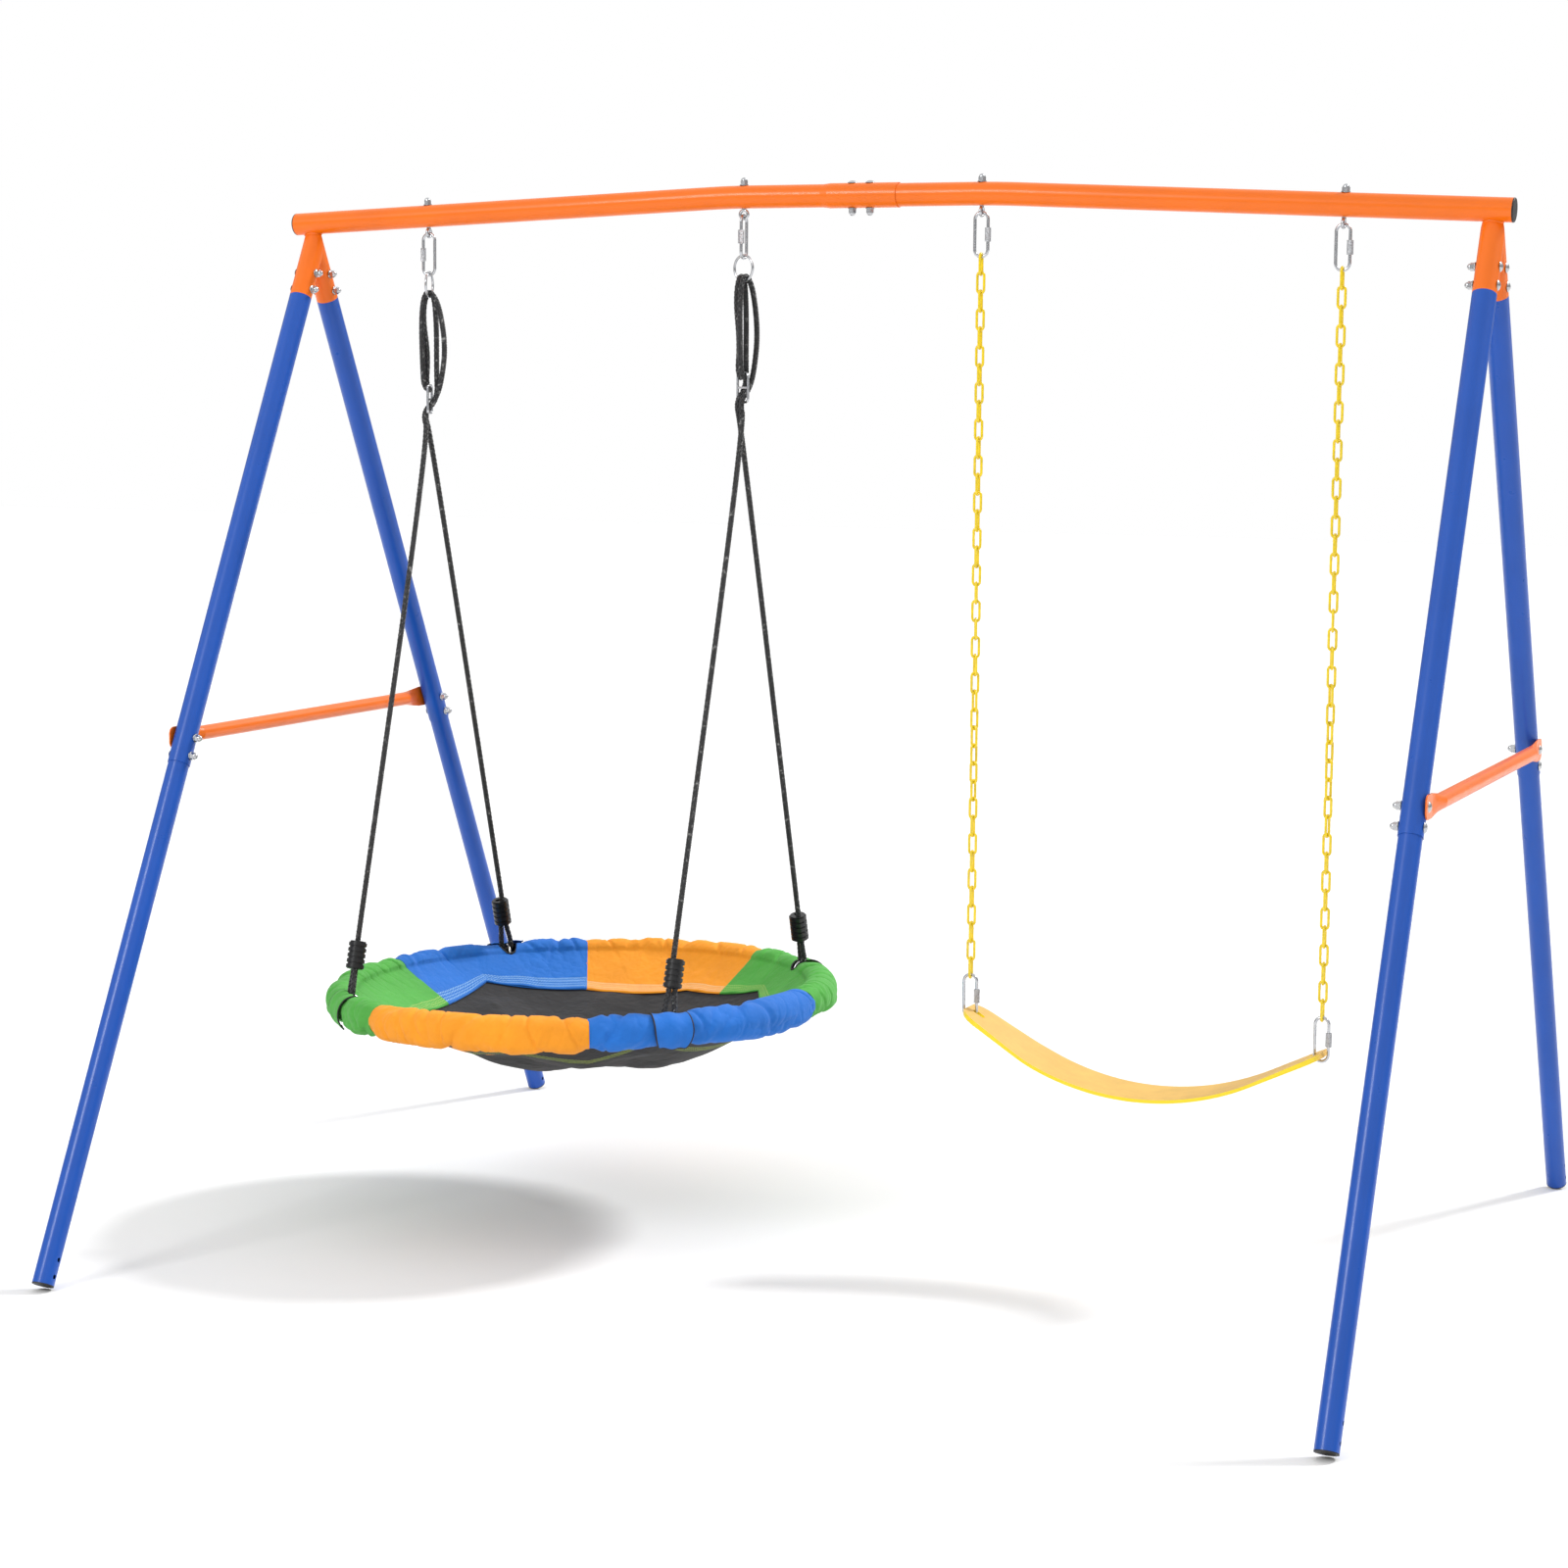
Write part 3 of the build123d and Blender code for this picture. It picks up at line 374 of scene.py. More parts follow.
def woven(name, colour, thread=None, rows=0, first_row=0.003, row_gap=0.0060, plies=650.0, seam_uv=None):
    """Plain-weave polyester, with rows of zigzag stitching along one edge if asked for."""
    zigzag, thread_half_width = 0.0035, 0.0007
    made = Nodes(name, colour, 0.82, Sheen_Weight=0.06, Sheen_Roughness=0.5)
    where = made.place(uv="cloth")
    split = made.add("ShaderNodeSeparateXYZ")
    made.link(where, split.inputs[0])
    along, across = split.outputs["X"], split.outputs["Y"]
    full_turn = 6.283
    warp = made.math("SINE", made.math("MULTIPLY", along, plies * full_turn))
    weft = made.math("SINE", made.math("MULTIPLY", across, plies * full_turn))
    weave = made.math("MULTIPLY", warp, weft)
    made.bump(weave, 0.25, 0.0003)
    body = made.place()
    wrinkles = made.math("SUBTRACT", made.noise(body, 26.0, 2.0), 0.5)
    made.bump(made.math("ABSOLUTE", wrinkles), 0.55, 0.010)
    fade = made.noise(body, 9.0, 5.0)
    tone = made.ramp(fade, ((0.3, shade(colour, 0.88)), (0.7, shade(colour, 1.07))))
    slub = made.noise(body, 240.0, 3.0)
    tone = made.mix(made.math("MULTIPLY", slub, 0.22), tone, shade(colour, 0.72))
    if seam_uv:
        split = made.add("ShaderNodeSeparateXYZ")
        made.link(made.place(uv=seam_uv), split.inputs[0])
        along, across = split.outputs["X"], split.outputs["Y"]
    if rows:
        swing = made.math("PINGPONG", along, zigzag)
        level = made.math("SUBTRACT", made.math("SUBTRACT", across, first_row), swing)
        lifted = made.math("ADD", level, row_gap * 8)
        in_row = made.math("MODULO", lifted, row_gap)
        nearest = made.math("ABSOLUTE", made.math("SUBTRACT", in_row, row_gap / 2))
        thread_on = made.math("LESS_THAN", nearest, thread_half_width)
        in_band = made.math("MULTIPLY", made.math("GREATER_THAN", level, 0.0),
                            made.math("LESS_THAN", level, rows * row_gap))
        stitched = made.math("MULTIPLY", thread_on, in_band)
        tone = made.mix(stitched, tone, thread)
        made.bump(stitched, 0.6, 0.0006)
    made.colour(tone)
    return made.material


def bare_foam(name, colour):
    """Open-cell foam tube, with the cell hollows painted darker as painted shade."""
    made = Nodes(name, colour, 0.95)
    where = made.place()
    cells = made.add("ShaderNodeTexVoronoi")
    cells.inputs["Scale"].default_value = 500.0
    made.link(where, cells.inputs["Vector"])
    made.bump(cells.outputs["Distance"], 0.5, 0.0008)
    # the colour is darkest where the bump is lowest, in the cell hollows: painted shade
    made.colour(made.ramp(cells.outputs["Distance"], ((0.2, shade(colour, 0.6)), (0.8, colour))))
    return made.material


def build_materials():
    """Give every rigid node the finish of its slot, and return the finishes."""
    orange = powder_paint("orange_powder_coat", (0.860, 0.158, 0.001), 0.32)
    blue = powder_paint("blue_powder_coat", (0.008, 0.080, 0.420), 0.30)
    bright = zinc("bright_zinc", (0.58, 0.59, 0.61))
    finishes = {
        "orange_paint": orange,
        "blue_paint": blue,
        "black_plastic": moulded("black_end_plastic", (0.012, 0.012, 0.013), 0.5),
        "zinc": bright,
        "clamp_plastic": moulded("clamp_plastic", (0.010, 0.010, 0.011), 0.33, 300.0, 0.3),
        "rim_steel": zinc("rim_steel", (0.45, 0.46, 0.47), 0.4),
        "foam": bare_foam("black_foam", (0.015, 0.015, 0.016)),
        "yellow_coating": coated_chain("yellow_dip", (0.900, 0.660, 0.008)),
        # the seat's second colour is the painted light on its front and back edges
        "yellow_plastic": seat_plastic("yellow_seat", (0.780, 0.470, 0.095), (0.93, 0.70, 0.015)),
    }
    slots = {part["node"]: part["material_slot"] for part in frame["record"]["subparts"]}
    sleeve_steel = knurled("knurled_sleeve", (0.62, 0.63, 0.65))
    for name, node in frame["nodes"].items():
        finish = finishes.get(slots[name])
        if name.endswith("_sleeve"):
            finish = sleeve_steel
        if finish is None:
            continue
        node.data.materials.clear()
        node.data.materials.append(finish)
    return finishes


# ================================================================ saucer geometry
SAUCER_U = Vector((math.cos(TILT), 0, math.sin(TILT)))
SAUCER_UP = Vector((-math.sin(TILT), 0, math.cos(TILT)))
SAUCER_O = Vector((SAUCER_X, 0, RIM_Z))


def saucer_point(angle, radius, height):
    """Point over the saucer's tilted plane."""
    return (SAUCER_O + SAUCER_U * (radius * math.cos(angle))
            + Vector((0, radius * math.sin(angle), 0)) + SAUCER_UP * height)


def smooth(x, low, high):
    """Soft step from 0 at low to 1 at high."""
    t = min(max((x - low) / (high - low), 0.0), 1.0)
    return t * t * (3 - 2 * t)


ROPE_ANGLES = {
    ("front", "left"): 180 + ROPE_ANGLE, ("rear", "left"): 180 - ROPE_ANGLE,
    ("front", "right"): 360 - ROPE_ANGLE, ("rear", "right"): ROPE_ANGLE,
}


def to_nearest_ring(angle):
    """Distance along the rim, in metres, to the nearest rope ring."""
    degrees = math.degrees(angle) % 360
    nearest = min(abs((degrees - a + 180) % 360 - 180) for a in ROPE_ANGLES.values())
    return nearest * math.pi / 180 * RIM_R


def mat_height(x, y):
    """Height of the sagging sheet over the saucer's own plane, deepest towards the front right."""
    low_x, low_y = MAT_LOW
    dx, dy = x - low_x, y - low_y
    away = math.hypot(dx, dy) or 1e-6
    inward = (low_x * dx + low_y * dy) / away
    to_edge = math.sqrt(inward ** 2 + MAT_R ** 2 - low_x ** 2 - low_y ** 2) - inward
    return MAT_EDGE_Z - MAT_SAG * (1 - min(away / to_edge, 1.0) ** 2.1)


# corners of the skirt's inner edge: degrees round the saucer, and radius
SKIRT_CORNERS = (
    (-173.0, 0.348), (-135.0, 0.394), (-112.0, 0.312), (-86.0, 0.362), (-62.0, 0.316), (-45.0, 0.394),
    (18.0, 0.366), (50.0, 0.397), (79.0, 0.362), (116.0, 0.350), (147.0, 0.397), (187.0, 0.348),
)


def skirt_reach(angle):
    """Radius of the skirt's inner edge, which runs straight from corner to corner."""
    turn = math.degrees(angle)
    while turn < SKIRT_CORNERS[0][0]:
        turn += 360
    while turn >= SKIRT_CORNERS[-1][0]:
        turn -= 360
    for (low, near), (high, far) in zip(SKIRT_CORNERS, SKIRT_CORNERS[1:]):
        if low <= turn < high:
            span = math.radians(high - low)
            part = math.radians(turn - low)
            return near * far * math.sin(span) / (near * math.sin(part) + far * math.sin(span - part))
    return SKIRT_R


def section_point(s, angle):
    """Point of the sleeve's section by share s: along the top of the skirt, round the tube,
    and back over the sheet.  Returns (distance from the rim, height, looseness)."""
    inner = skirt_reach(angle) - RIM_R

    def sheet(x):
        return mat_height((RIM_R + x) * math.cos(angle), (RIM_R + x) * math.sin(angle))

    start, turn = math.radians(152), math.radians(290)
    over_sheet, under_skirt = 0.0018, 0.0035
    if s < 0.3:
        t = s / 0.3
        low = sheet(inner) + under_skirt
        x = inner + t * (SLEEVE_R * math.cos(start) - inner)
        return x, low + t * (SLEEVE_R * math.sin(start) - low), 0.10 + 0.5 * t
    if s < 0.8:
        t = (s - 0.3) / 0.5
        return SLEEVE_R * math.cos(start - turn * t), SLEEVE_R * math.sin(start - turn * t), 1.0
    outer = MAT_R - RIM_R + 0.001
    if s < 0.9:
        t = (s - 0.8) / 0.1
        x = SLEEVE_R * math.cos(start - turn) * (1 - t) + outer * t
        z = SLEEVE_R * math.sin(start - turn) * (1 - t) + (MAT_EDGE_Z + over_sheet) * t
        return x, z, 0.3 * (1 - t)
    t = (s - 0.9) / 0.1
    x = outer + (inner - outer) * t
    return x, sheet(x) + over_sheet, 0.0


def gather(angle, s, seed):
    """Puckers of the sleeve: flat-topped billows between sharp folds that slant both ways."""
    along = angle * RIM_R
    round_it = s * 0.26
    first = along * 0.80 + round_it * 0.60
    second = along * 0.86 - round_it * 0.50
    big = abs(noise.noise(Vector((first * 11, second * 3.5, seed))))
    mid = abs(noise.noise(Vector((second * 19, first * 6.0, seed + 7))))
    small = abs(noise.noise(Vector((first * 44, second * 17, seed + 13))))
    fold = 0.0058 * min(big / 0.13, 1.0)
    fold += 0.0040 * min(mid / 0.11, 1.0)
    fold += 0.0016 * min(small / 0.16, 1.0)
    # the hem on the outside hangs a little loose, in a wavering line
    hem = 0.62 + 0.05 * noise.noise(Vector((along * 8, seed, 4.0)))
    droop = smooth(s, hem - 0.035, hem) * (1 - smooth(s, hem + 0.05, hem + 0.14))
    return fold + 0.0050 * droop * (0.3 + 1.6 * big) - 0.0012


def sleeve_shape(mesh, start, end, seed):
    """Wrap a flat grid round the rim, and return each vertex's place in the flat cloth."""
    sections = {}
    length = math.radians(end - start) * RIM_R
    for vertex in mesh.vertices:
        u = (vertex.co.x + 1) / 2
        s = (vertex.co.y + 1) / 2
        angle = math.radians(start + (end - start) * u)
        x, z, loose = section_point(s, angle)
        # the cloth is flat and tight near a seam and near a rope ring
        seam_ease = 0.35 + 0.65 * smooth(min(u, 1 - u) * length, 0.0, 0.03)
        ring_ease = 0.35 + 0.65 * smooth(to_nearest_ring(angle), 0.02, 0.07)
        swell = max(gather(angle, s, seed) * seam_ease * ring_ease, -0.0003) * loose
        reach = math.hypot(x, z) or 1
        wave = noise.noise(Vector((angle * 9, seed, 2.0)))
        skirt_ease = 1 - smooth(s, 0.0, 0.25)
        x += swell * x / reach
        z += swell * z / reach + 0.004 * max(wave, 0.0) * skirt_ease
        sections[vertex.index] = (u * length, s)
        vertex.co = saucer_point(angle, RIM_R + x, z)
    return sections


def lay_cloth(mesh, sections, angle):
    """Write the flat cloth's own lengths as the cloth map, in metres."""
    steps = 200
    width = [0.0]
    previous = section_point(0, angle)
    for i in range(1, steps + 1):
        here = section_point(i / steps, angle)
        width.append(width[-1] + math.hypot(here[0] - previous[0], here[1] - previous[1]))
        previous = here
    uv = mesh.uv_layers.new(name="cloth")
    for loop in mesh.loops:
        along, s = sections[loop.vertex_index]
        uv.data[loop.index].uv = (along, width[round(s * steps)])


def cut_slits(mesh):
    """Open the top of the sleeve over each rope ring."""
    bm = bmesh.new()
    bm.from_mesh(mesh)
    doomed = []
    for face in bm.faces:
        centre = face.calc_center_median() - SAUCER_O
        flat = Vector((centre.dot(SAUCER_U), centre.y))
        along = to_nearest_ring(math.atan2(flat.y, flat.x)) / SLIT_HALF_LENGTH
        across = (flat.length - RIM_R) / SLIT_HALF_WIDTH
        if along ** 2 + across ** 2 < 1 and centre.dot(SAUCER_UP) > 0.002:
            doomed.append(face)
    bmesh.ops.delete(bm, geom=doomed, context="FACES")
    bmesh.ops.recalc_face_normals(bm, faces=bm.faces)
    bm.to_mesh(mesh)
    bm.free()


def thicken(piece, thickness, offset):
    """Give the active open sheet a wall."""
    wall = piece.modifiers.new("wall", "SOLIDIFY")
    wall.thickness = thickness
    wall.offset = offset
    bpy.ops.object.modifier_apply(modifier="wall")


def on_saucer(piece):
    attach(piece, "saucer_swing")


def build_sleeve(name, start, end, material, seed):
    """One coloured fabric sleeve of the rim, from start to end degrees."""
    around = max(24, int((end - start) * 3.6))
    bpy.ops.mesh.primitive_grid_add(x_subdivisions=around, y_subdivisions=84, size=2)
    sleeve = bpy.context.object
    sleeve.name = name
    mesh = sleeve.data
    sections = sleeve_shape(mesh, start, end, seed)
    lay_cloth(mesh, sections, math.radians((start + end) / 2))
    cut_slits(mesh)
    thicken(sleeve, SLEEVE_CLOTH, -1)
    mesh.materials.append(material)
    bpy.ops.object.shade_smooth()
    on_saucer(sleeve)
    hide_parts("saucer_cover")


def tube_along(name, points, radius, sides=8, closed=False):
    """Smooth round bar through a few points, as a mesh."""
    curve = bpy.data.curves.new(name, "CURVE")
    curve.dimensions = "3D"
    spline = curve.splines.new("NURBS")
    spline.points.add(len(points) - 1)
    for point, place in zip(spline.points, points):
        point.co = (*place, 1)
    spline.order_u = 3
    spline.use_cyclic_u = closed
    spline.use_endpoint_u = not closed
    curve.bevel_depth = radius
    curve.bevel_resolution = sides // 4
    curve.use_fill_caps = True
    carrier = bpy.data.objects.new(name, curve)
    bpy.context.collection.objects.link(carrier)
    bpy.context.view_layer.update()
    mesh = bpy.data.meshes.new_from_object(carrier.evaluated_get(bpy.context.evaluated_depsgraph_get()))
    bpy.data.objects.remove(carrier)
    made = bpy.data.objects.new(name, mesh)
    bpy.context.collection.objects.link(made)
    for face in mesh.polygons:
        face.use_smooth = True
    return made


# colour, place, and the degrees at which each panel of the cover starts and ends
PANELS = (
    ("green", "left", 170.0, 242.0), ("orange", "front", 242.0, 297.5), ("blue", "front", 297.5, 360.0),
    ("green", "right", 0.0, 65.0), ("orange", "rear", 65.0, 115.0), ("blue", "rear", 115.0, 170.0),
)


def build_saucer():
    """The sewn cover: six sleeves, and at each rope ring a bound slit and a folded tab."""
    green, blue, orange = (0.075, 0.400, 0.050), (0.007, 0.155, 0.600), (0.950, 0.330, 0.008)
    colours = {
        "green": woven("green_cloth", green, (0.45, 0.62, 0.15), rows=4),
        "blue": woven("blue_cloth", blue, (0.35, 0.60, 0.80), rows=4),
        "orange": woven("orange_cloth", orange, (0.95, 0.80, 0.55), rows=4),
    }
    overlap = 0.15
    for seed, (colour, place, start, end) in enumerate(PANELS):
        build_sleeve(f"sleeve_{colour}_{place}", start - overlap, end + overlap, colours[colour], seed * 3.7)

    piping = moulded("black_piping", (0.01, 0.01, 0.01), 0.6)
    for (way, side), angle in ROPE_ANGLES.items():
        build_slit_piping(f"slit_piping_{way}_{side}", math.radians(angle), piping)
        turn = angle % 360
        colour = next(c for c, _, start, end in PANELS if start <= turn < end)
        build_flap(f"flap_{way}_{side}", angle, colours[colour], piping)


def build_slit_piping(name, angle, piping):
    """Black binding round the opening over a rope ring."""
    half_width, half_length, over_cloth, lowest = 0.0262, 0.0215, 0.0022, 0.004
    corners = 14
    loop = []
    for i in range(corners):
        turn = 2 * math.pi * i / corners
        reach = half_width * math.cos(turn)
        height = math.sqrt(max(0.0, (SLEEVE_R + over_cloth) ** 2 - min(abs(reach), SLEEVE_R) ** 2))
        here = angle + half_length * math.sin(turn) / RIM_R
        loop.append(saucer_point(here, RIM_R + reach, max(height, lowest)))
    edge = tube_along(name, loop, PIPING_R, closed=True)
    edge.data.materials.append(piping)
    on_saucer(edge)


def flap_point(angle, s, lift):
    """Point lifted off the sleeve's plain section."""
    x, z, _ = section_point(s, angle)
    reach = math.hypot(x, z)
    return saucer_point(angle, RIM_R + x * (reach + lift) / reach, z * (reach + lift) / reach)


def build_flap(name, angle, cloth, piping):
    """Bound tab that is folded down over the outside of the rim under a rope ring."""
    bpy.ops.mesh.primitive_grid_add(x_subdivisions=28, y_subdivisions=30, size=2)
    flap = bpy.context.object
    flap.name = name
    mesh = flap.data
    middle, half = math.radians(angle), FLAP_HALF_WIDTH / RIM_R
    top, low = FLAP_SHARES

    def place(u, v):
        spread = 1.0 - 0.30 * max(v, 0.0) ** 2
        lift = 0.0105 + 0.0035 * v + 0.0016 * math.sin(5 * u + angle) + 0.0020 * u * v
        return flap_point(middle + half * u * spread, top + (low - top) * (v + 1) / 2, lift)

    # the tab's cloth starts past the stitched rows of the map
    flats = [(FLAP_HALF_WIDTH * (v.co.x + 1), FLAP_HALF_LENGTH * (v.co.y + 3)) for v in mesh.vertices]
    for vertex in mesh.vertices:
        vertex.co = place(vertex.co.x, vertex.co.y)
    uv = mesh.uv_layers.new(name="cloth")
    for loop in mesh.loops:
        uv.data[loop.index].uv = flats[loop.vertex_index]
    thicken(flap, FLAP_CLOTH, 0)
    mesh.materials.append(cloth)
    bpy.ops.object.shade_smooth()
    on_saucer(flap)

    parts = 8
    edge = [place(-1, -1 + 2 * i / parts) for i in range(parts)]
    edge += [place(-1 + 2 * i / parts, 1) for i in range(parts)]
    edge += [place(1, 1 - 2 * i / parts) for i in range(parts + 1)]
    binding = tube_along(name + "_binding", edge, 0.0016)
    binding.data.materials.append(piping)
    on_saucer(binding)


# direction in degrees, distance from the middle, height and reach of each crease
MAT_CREASES = (
    (28, 0.03, 0.017, 0.10), (-36, -0.05, 0.013, 0.08), (85, 0.12, 0.012, 0.07), (62, -0.16, 0.014, 0.09),
)


def build_mat():
    """Dark sagging sheet with creases from folding."""
    rows = 150
    bpy.ops.mesh.primitive_grid_add(x_subdivisions=rows, y_subdivisions=rows, size=2)
    mat = bpy.context.object
    mat.name = "saucer_sheet"
    mesh = mat.data
    flats = {}
    for vertex in mesh.vertices:
        u, v = vertex.co.x, vertex.co.y
        x = u * math.sqrt(1 - v * v / 2) * MAT_R
        y = v * math.sqrt(1 - u * u / 2) * MAT_R
        r = math.hypot(x, y) / MAT_R
        z = mat_height(x, y)
        fold = 0.0
        for turn, offset, height, spread in MAT_CREASES:
            turn = math.radians(turn)
            away = -x * math.sin(turn) + y * math.cos(turn) - offset
            fold += height * max(0.0, 1 - abs(away) / spread)
        ripple = 0.0025 * noise.noise(Vector((x * 9, y * 9, 3.0)))
        ripple += 0.0012 * noise.noise(Vector((x * 30, y * 30, 8.0)))
        z += (fold + ripple) * smooth(1 - r, 0.10, 0.26)
        flats[vertex.index] = (x, y)
        vertex.co = SAUCER_O + SAUCER_U * x + Vector((0, y, 0)) + SAUCER_UP * z
    uv = mesh.uv_layers.new(name="cloth")
    seam = mesh.uv_layers.new(name="seam")
    for loop in mesh.loops:
        x, y = flats[loop.vertex_index]
        uv.data[loop.index].uv = (x, y)
        angle = math.atan2(y, x)
        seam.data[loop.index].uv = (angle * MAT_R, math.hypot(x, y) - skirt_reach(angle))
    thicken(mat, MAT_CLOTH, -1)
    charcoal, lime_thread = (0.011, 0.0105, 0.012), (0.42, 0.55, 0.07)
    mesh.materials.append(woven("charcoal_mesh", charcoal, lime_thread, rows=3, plies=420.0, seam_uv="seam"))
    bpy.ops.object.shade_smooth()
    on_saucer(mat)
    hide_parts("saucer_mat")


# ================================================================ ropes
# each strand's points in the hank, in millimetres across and above the big ring's lowest wire
FRONT_STRAND = (
    (-14, -233), (15, -204), (27, -165), (35, -100), (24, -25),
    (8.2, 8.6), (-8.2, 8.6), (-15.5, -40), (-13, -140), (-10, -185.6), (3, -186.2),
)
REAR_STRAND = (
    (-14, -233), (15, -204), (13, -150), (13.5, -60),
    (8.2, 8.6), (-8.2, 8.6), (-15.5, -40), (-4, -118), (-10, -185.6), (3, -186.2),
)


def rope_route(way, side):
    """The rope's own points: from the clamp, round the rim ring, up through the clamp, and
    into the hank over the big ring."""
    sign = -1 if way == "front" else 1
    angle = math.radians(ROPE_ANGLES[way, side])
    wire = RINGS[side]
    turn = math.radians(RING_TURN[side])
    over = Vector((math.cos(turn), math.sin(turn), 0))
    beside = Vector((0, 0, 1)).cross(over) * (sign * ROPE_SIDE)
    loop_rise = RIM_RING_RISE + RIM_RING_R - RIM_WIRE_R - ROPE_D / 2 - ROPE_LOOP_GAP
    bottom = saucer_point(angle, RIM_R, loop_rise)
    fork = wire + beside - Vector((0, 0, FORK_DROP))
    up = (fork - bottom).normalized()
    tangent = SAUCER_U * -math.sin(angle) + Vector((0, math.cos(angle), 0))
    across = (tangent - up * tangent.dot(up)).normalized()
    clamp_top = CLAMP_RISE + CLAMP_LENGTH
    loop = (
        (ROPE_SIDE, clamp_top - 0.006), (ROPE_SIDE, CLAMP_RISE - 0.006),
        (ROPE_LOOP_HALF + 0.0006, 0.024),
        (ROPE_LOOP_HALF, 0.0), (-ROPE_LOOP_HALF, 0.0), (-ROPE_LOOP_HALF - 0.0006, 0.024),
        (-ROPE_SIDE, CLAMP_RISE - 0.006), (-ROPE_SIDE, clamp_top + 0.008),
    )
    points = [bottom + across * out + up * height for out, height in loop] + [fork]
    strand = FRONT_STRAND if way == "front" else REAR_STRAND
    points += [wire + beside + over * (x / 1000) + Vector((0, 0, z / 1000)) for x, z in strand]
    return points


def centreline(points, resolution=24):
    """Close points along a smooth NURBS line."""
    curve = bpy.data.curves.new("route", "CURVE")
    curve.dimensions = "3D"
    curve.resolution_u = resolution
    spline = curve.splines.new("NURBS")
    spline.points.add(len(points) - 1)
    for point, place in zip(spline.points, points):
        point.co = (*place, 1)
    spline.order_u = 3
    spline.use_endpoint_u = True
    carrier = bpy.data.objects.new("route", curve)
    bpy.context.collection.objects.link(carrier)
    bpy.context.view_layer.update()
    line = bpy.data.meshes.new_from_object(carrier)
    places = [v.co.copy() for v in line.vertices]
    bpy.data.objects.remove(carrier)
    bpy.data.meshes.remove(line)
    return places


def evenly(places, step):
    """The same line as places a step apart."""
    out = [places[0]]
    left = step
    for a, b in zip(places, places[1:]):
        length = (b - a).length
        at = left
        while at <= length:
            out.append(a + (b - a) * (at / length))
            at += step
        left = at - length
    return out


def frames_along(places):
    """Two directions square to the line at each place, turning as little as they can."""
    normal = (places[1] - places[0]).orthogonal().normalized()
    frames = []
    for i in range(len(places)):
        ahead = (places[min(i + 1, len(places) - 1)] - places[max(i - 1, 0)]).normalized()
        normal = (normal - ahead * normal.dot(ahead)).normalized()
        frames.append((normal, ahead.cross(normal)))
    return frames


def strand_rings(bm, places, frames, hand, strand):
    """Flat oval sections of one strand, which winds by hand and weaves in and out."""
    middle_r, weave, half_width, half_thick = 0.0038, 0.00085, 0.0026, 0.0013
    rings = []
    for i, (place, (n, b)) in enumerate(zip(places, frames)):
        phase = 2 * math.pi * i * BRAID_STEP / BRAID_PITCH
        turn = hand * phase + 2 * math.pi * strand / STRANDS
        reach = middle_r + hand * weave * math.cos(4 * phase)
        out = n * math.cos(turn) + b * math.sin(turn)
        side_way = b * math.cos(turn) - n * math.sin(turn)
        centre = place + out * reach
        ring = []
        for k in range(STRAND_SIDES):
            a = 2 * math.pi * k / STRAND_SIDES
            wide, thick = half_width * math.cos(a), half_thick * math.sin(a)
            ring.append(bm.verts.new(centre + side_way * wide + out * thick))
        rings.append(ring)
    return rings


def skin_strand(bm, uv, rings):
    """Close the sections of one strand into a solid, with its lay map."""
    sides = STRAND_SIDES
    for i, (low, high) in enumerate(zip(rings, rings[1:])):
        for k in range(sides):
            face = bm.faces.new((low[k], low[(k + 1) % sides], high[(k + 1) % sides], high[k]))
            face.smooth = True
            for loop, (u, v) in zip(face.loops, ((k, i), (k + 1, i), (k + 1, i + 1), (k, i + 1))):
                loop[uv].uv = (v * BRAID_STEP, u / sides)
    bm.faces.new(list(reversed(rings[0])))
    bm.faces.new(rings[-1])


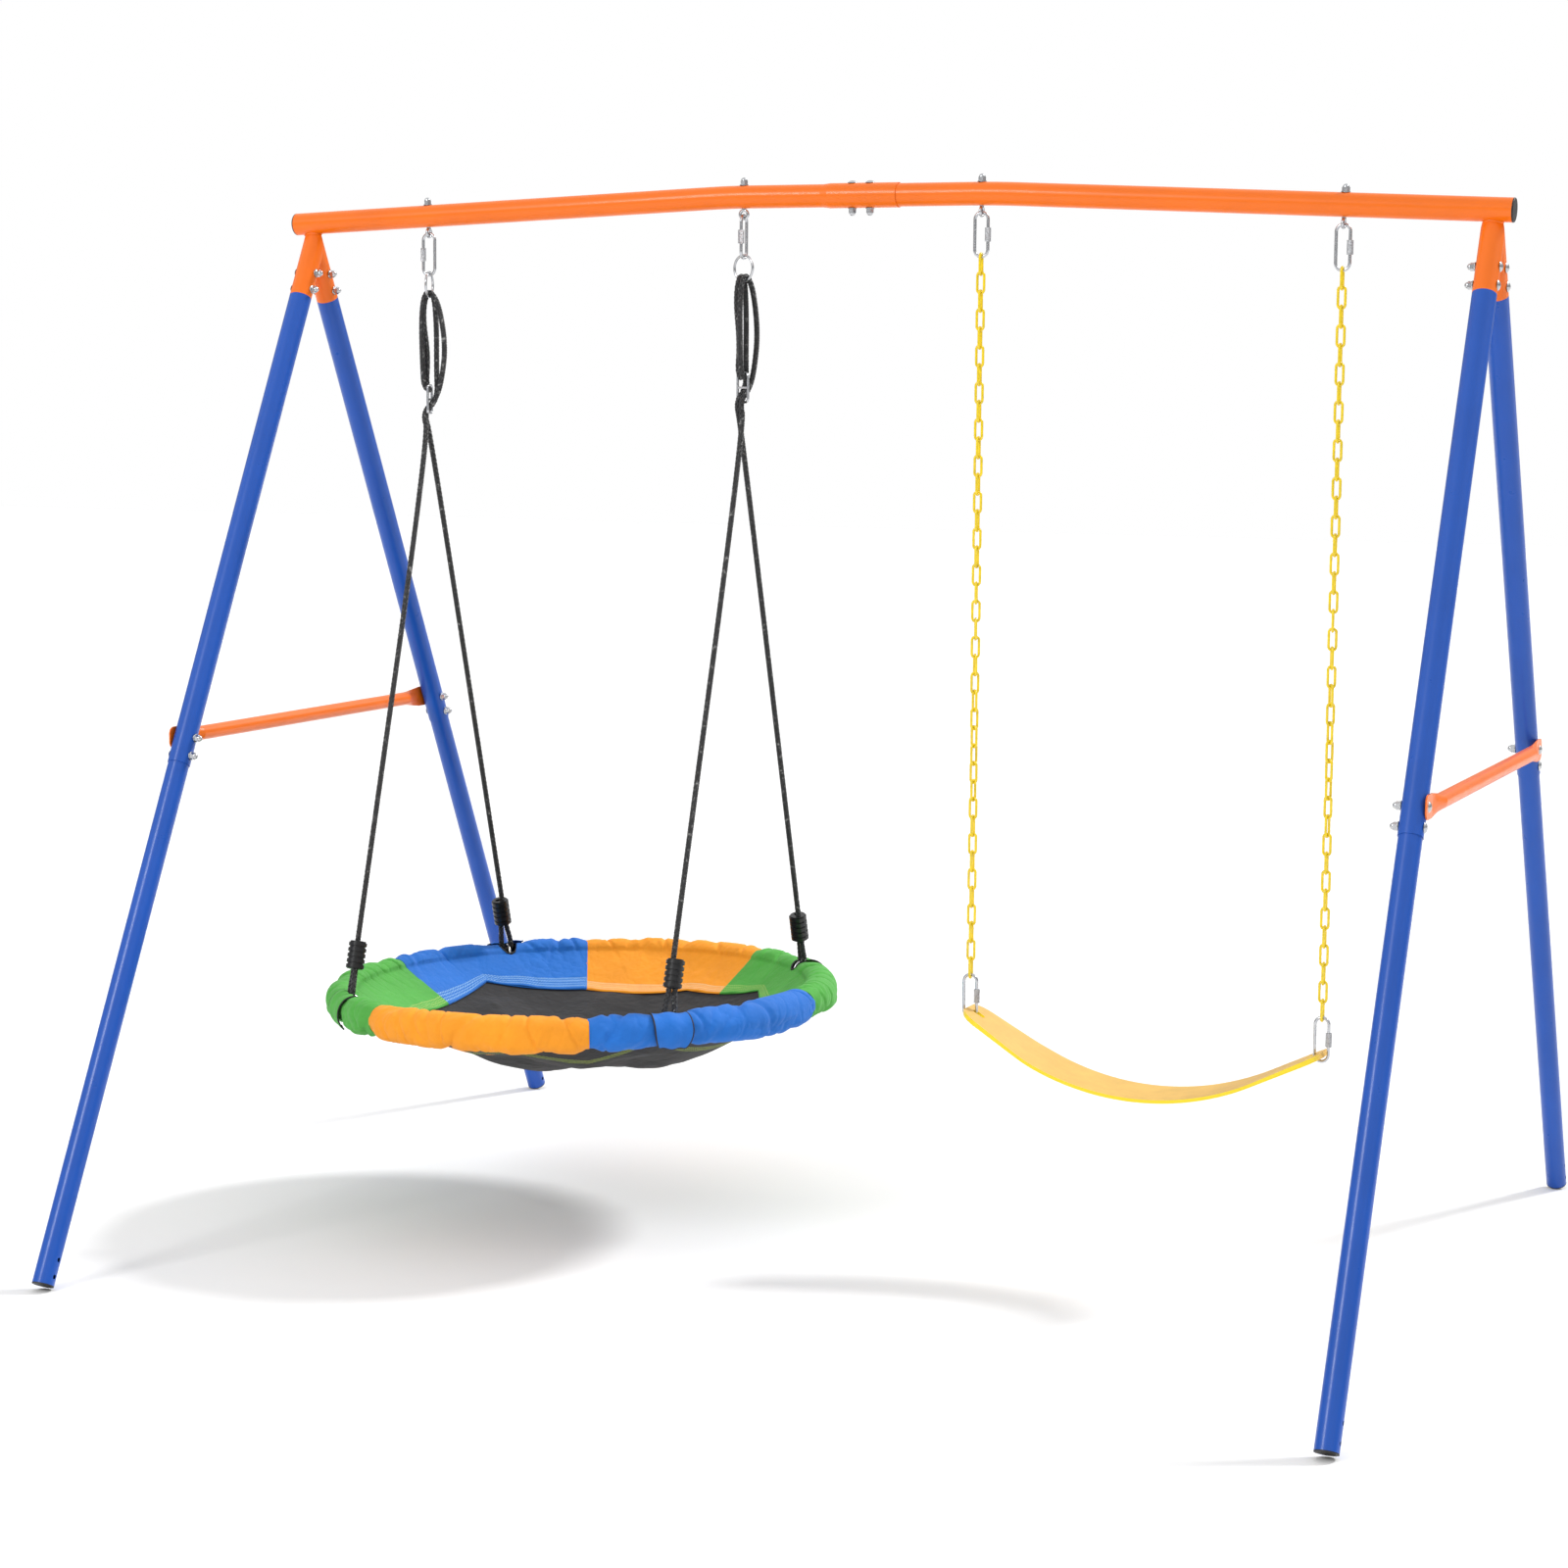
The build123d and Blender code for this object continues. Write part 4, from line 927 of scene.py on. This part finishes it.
def build_rope(way, side, yarn):
    """Round braid: four strands each way that pass over and under one another."""
    name = f"rope_{way}_{side}"
    route = centreline(rope_route(way, side))
    places = evenly(route, BRAID_STEP)
    frames = frames_along(places)
    bm = bmesh.new()
    uv = bm.loops.layers.uv.new("lay")
    for hand in (1, -1):
        for strand in range(STRANDS):
            skin_strand(bm, uv, strand_rings(bm, places, frames, hand, strand))
    bmesh.ops.recalc_face_normals(bm, faces=bm.faces)
    mesh = bpy.data.meshes.new(name + "_braid")
    bm.to_mesh(mesh)
    bm.free()
    rope = bpy.data.objects.new(name + "_braid", mesh)
    bpy.context.collection.objects.link(rope)
    mesh.materials.append(yarn)
    on_saucer(rope)
    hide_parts(name)


# ================================================================ weld beads
def bar_level(x):
    """Height of the top bar's centre line in its falling part."""
    return BAR_HEIGHT - (abs(x) - BAR_BEND_X) * BAR_FALL


def socket_line(side, way):
    """Places where one socket's wall meets the bar's surface, on the socket's own side."""
    apex = Vector((side * FRAME_HALF_SPACING, 0, bar_level(FRAME_HALF_SPACING) - LEG_APEX_DROP))
    along = Vector((0, way * math.sin(LEG_LEAN), -math.cos(LEG_LEAN)))
    cross = Vector((0, way * math.cos(LEG_LEAN), math.sin(LEG_LEAN)))
    steps = 120
    places = []
    for i in range(steps):
        turn = 2 * math.pi * i / steps
        start = apex + Vector((side, 0, 0)) * (BAR_R * math.cos(turn))
        start += cross * (BAR_R * math.sin(turn))
        y, z = start.y, start.z - bar_level(start.x)
        b = y * along.y + z * along.z
        root = b * b - (y * y + z * z - BAR_R * BAR_R)
        if root < 0:
            continue
        here = start + along * (math.sqrt(root) - b)
        if here.y * way >= 0.001:
            places.append(here)
    return places


def build_welds(material):
    """A rippled bead where each leg socket meets the top bar."""
    for side, end in ((-1, "left"), (1, "right")):
        for way, face in ((-1, "front"), (1, "rear")):
            places = socket_line(side, way)
            # begin at the gap between the two ends of the line
            gaps = [(places[(i + 1) % len(places)] - here).length for i, here in enumerate(places)]
            cut = gaps.index(max(gaps)) + 1
            places = places[cut:] + places[:cut]
            bead = tube_along(f"weld_{face}_{end}", places[::4], WELD_R)
            for vertex in bead.data.vertices:
                ripple = 0.0006 * math.sin(vertex.co.x * 1700 + vertex.co.z * 1500)
                vertex.co += vertex.normal * ripple
            bead.data.materials.append(material)
            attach(bead, "frame")


build_camera()
build_floor()
build_room()
build_lights()
finishes = build_materials()
build_saucer()
build_mat()
# the pale grey is both the tracer yarn's colour and a painted highlight colour
black_yarn = rope_yarn("black_yarn", (0.010, 0.010, 0.011), (0.30, 0.30, 0.29))
for rope_way in ("front", "rear"):
    for rope_end in ("left", "right"):
        build_rope(rope_way, rope_end, black_yarn)
build_welds(finishes["orange_paint"])

bpy.context.view_layer.update()
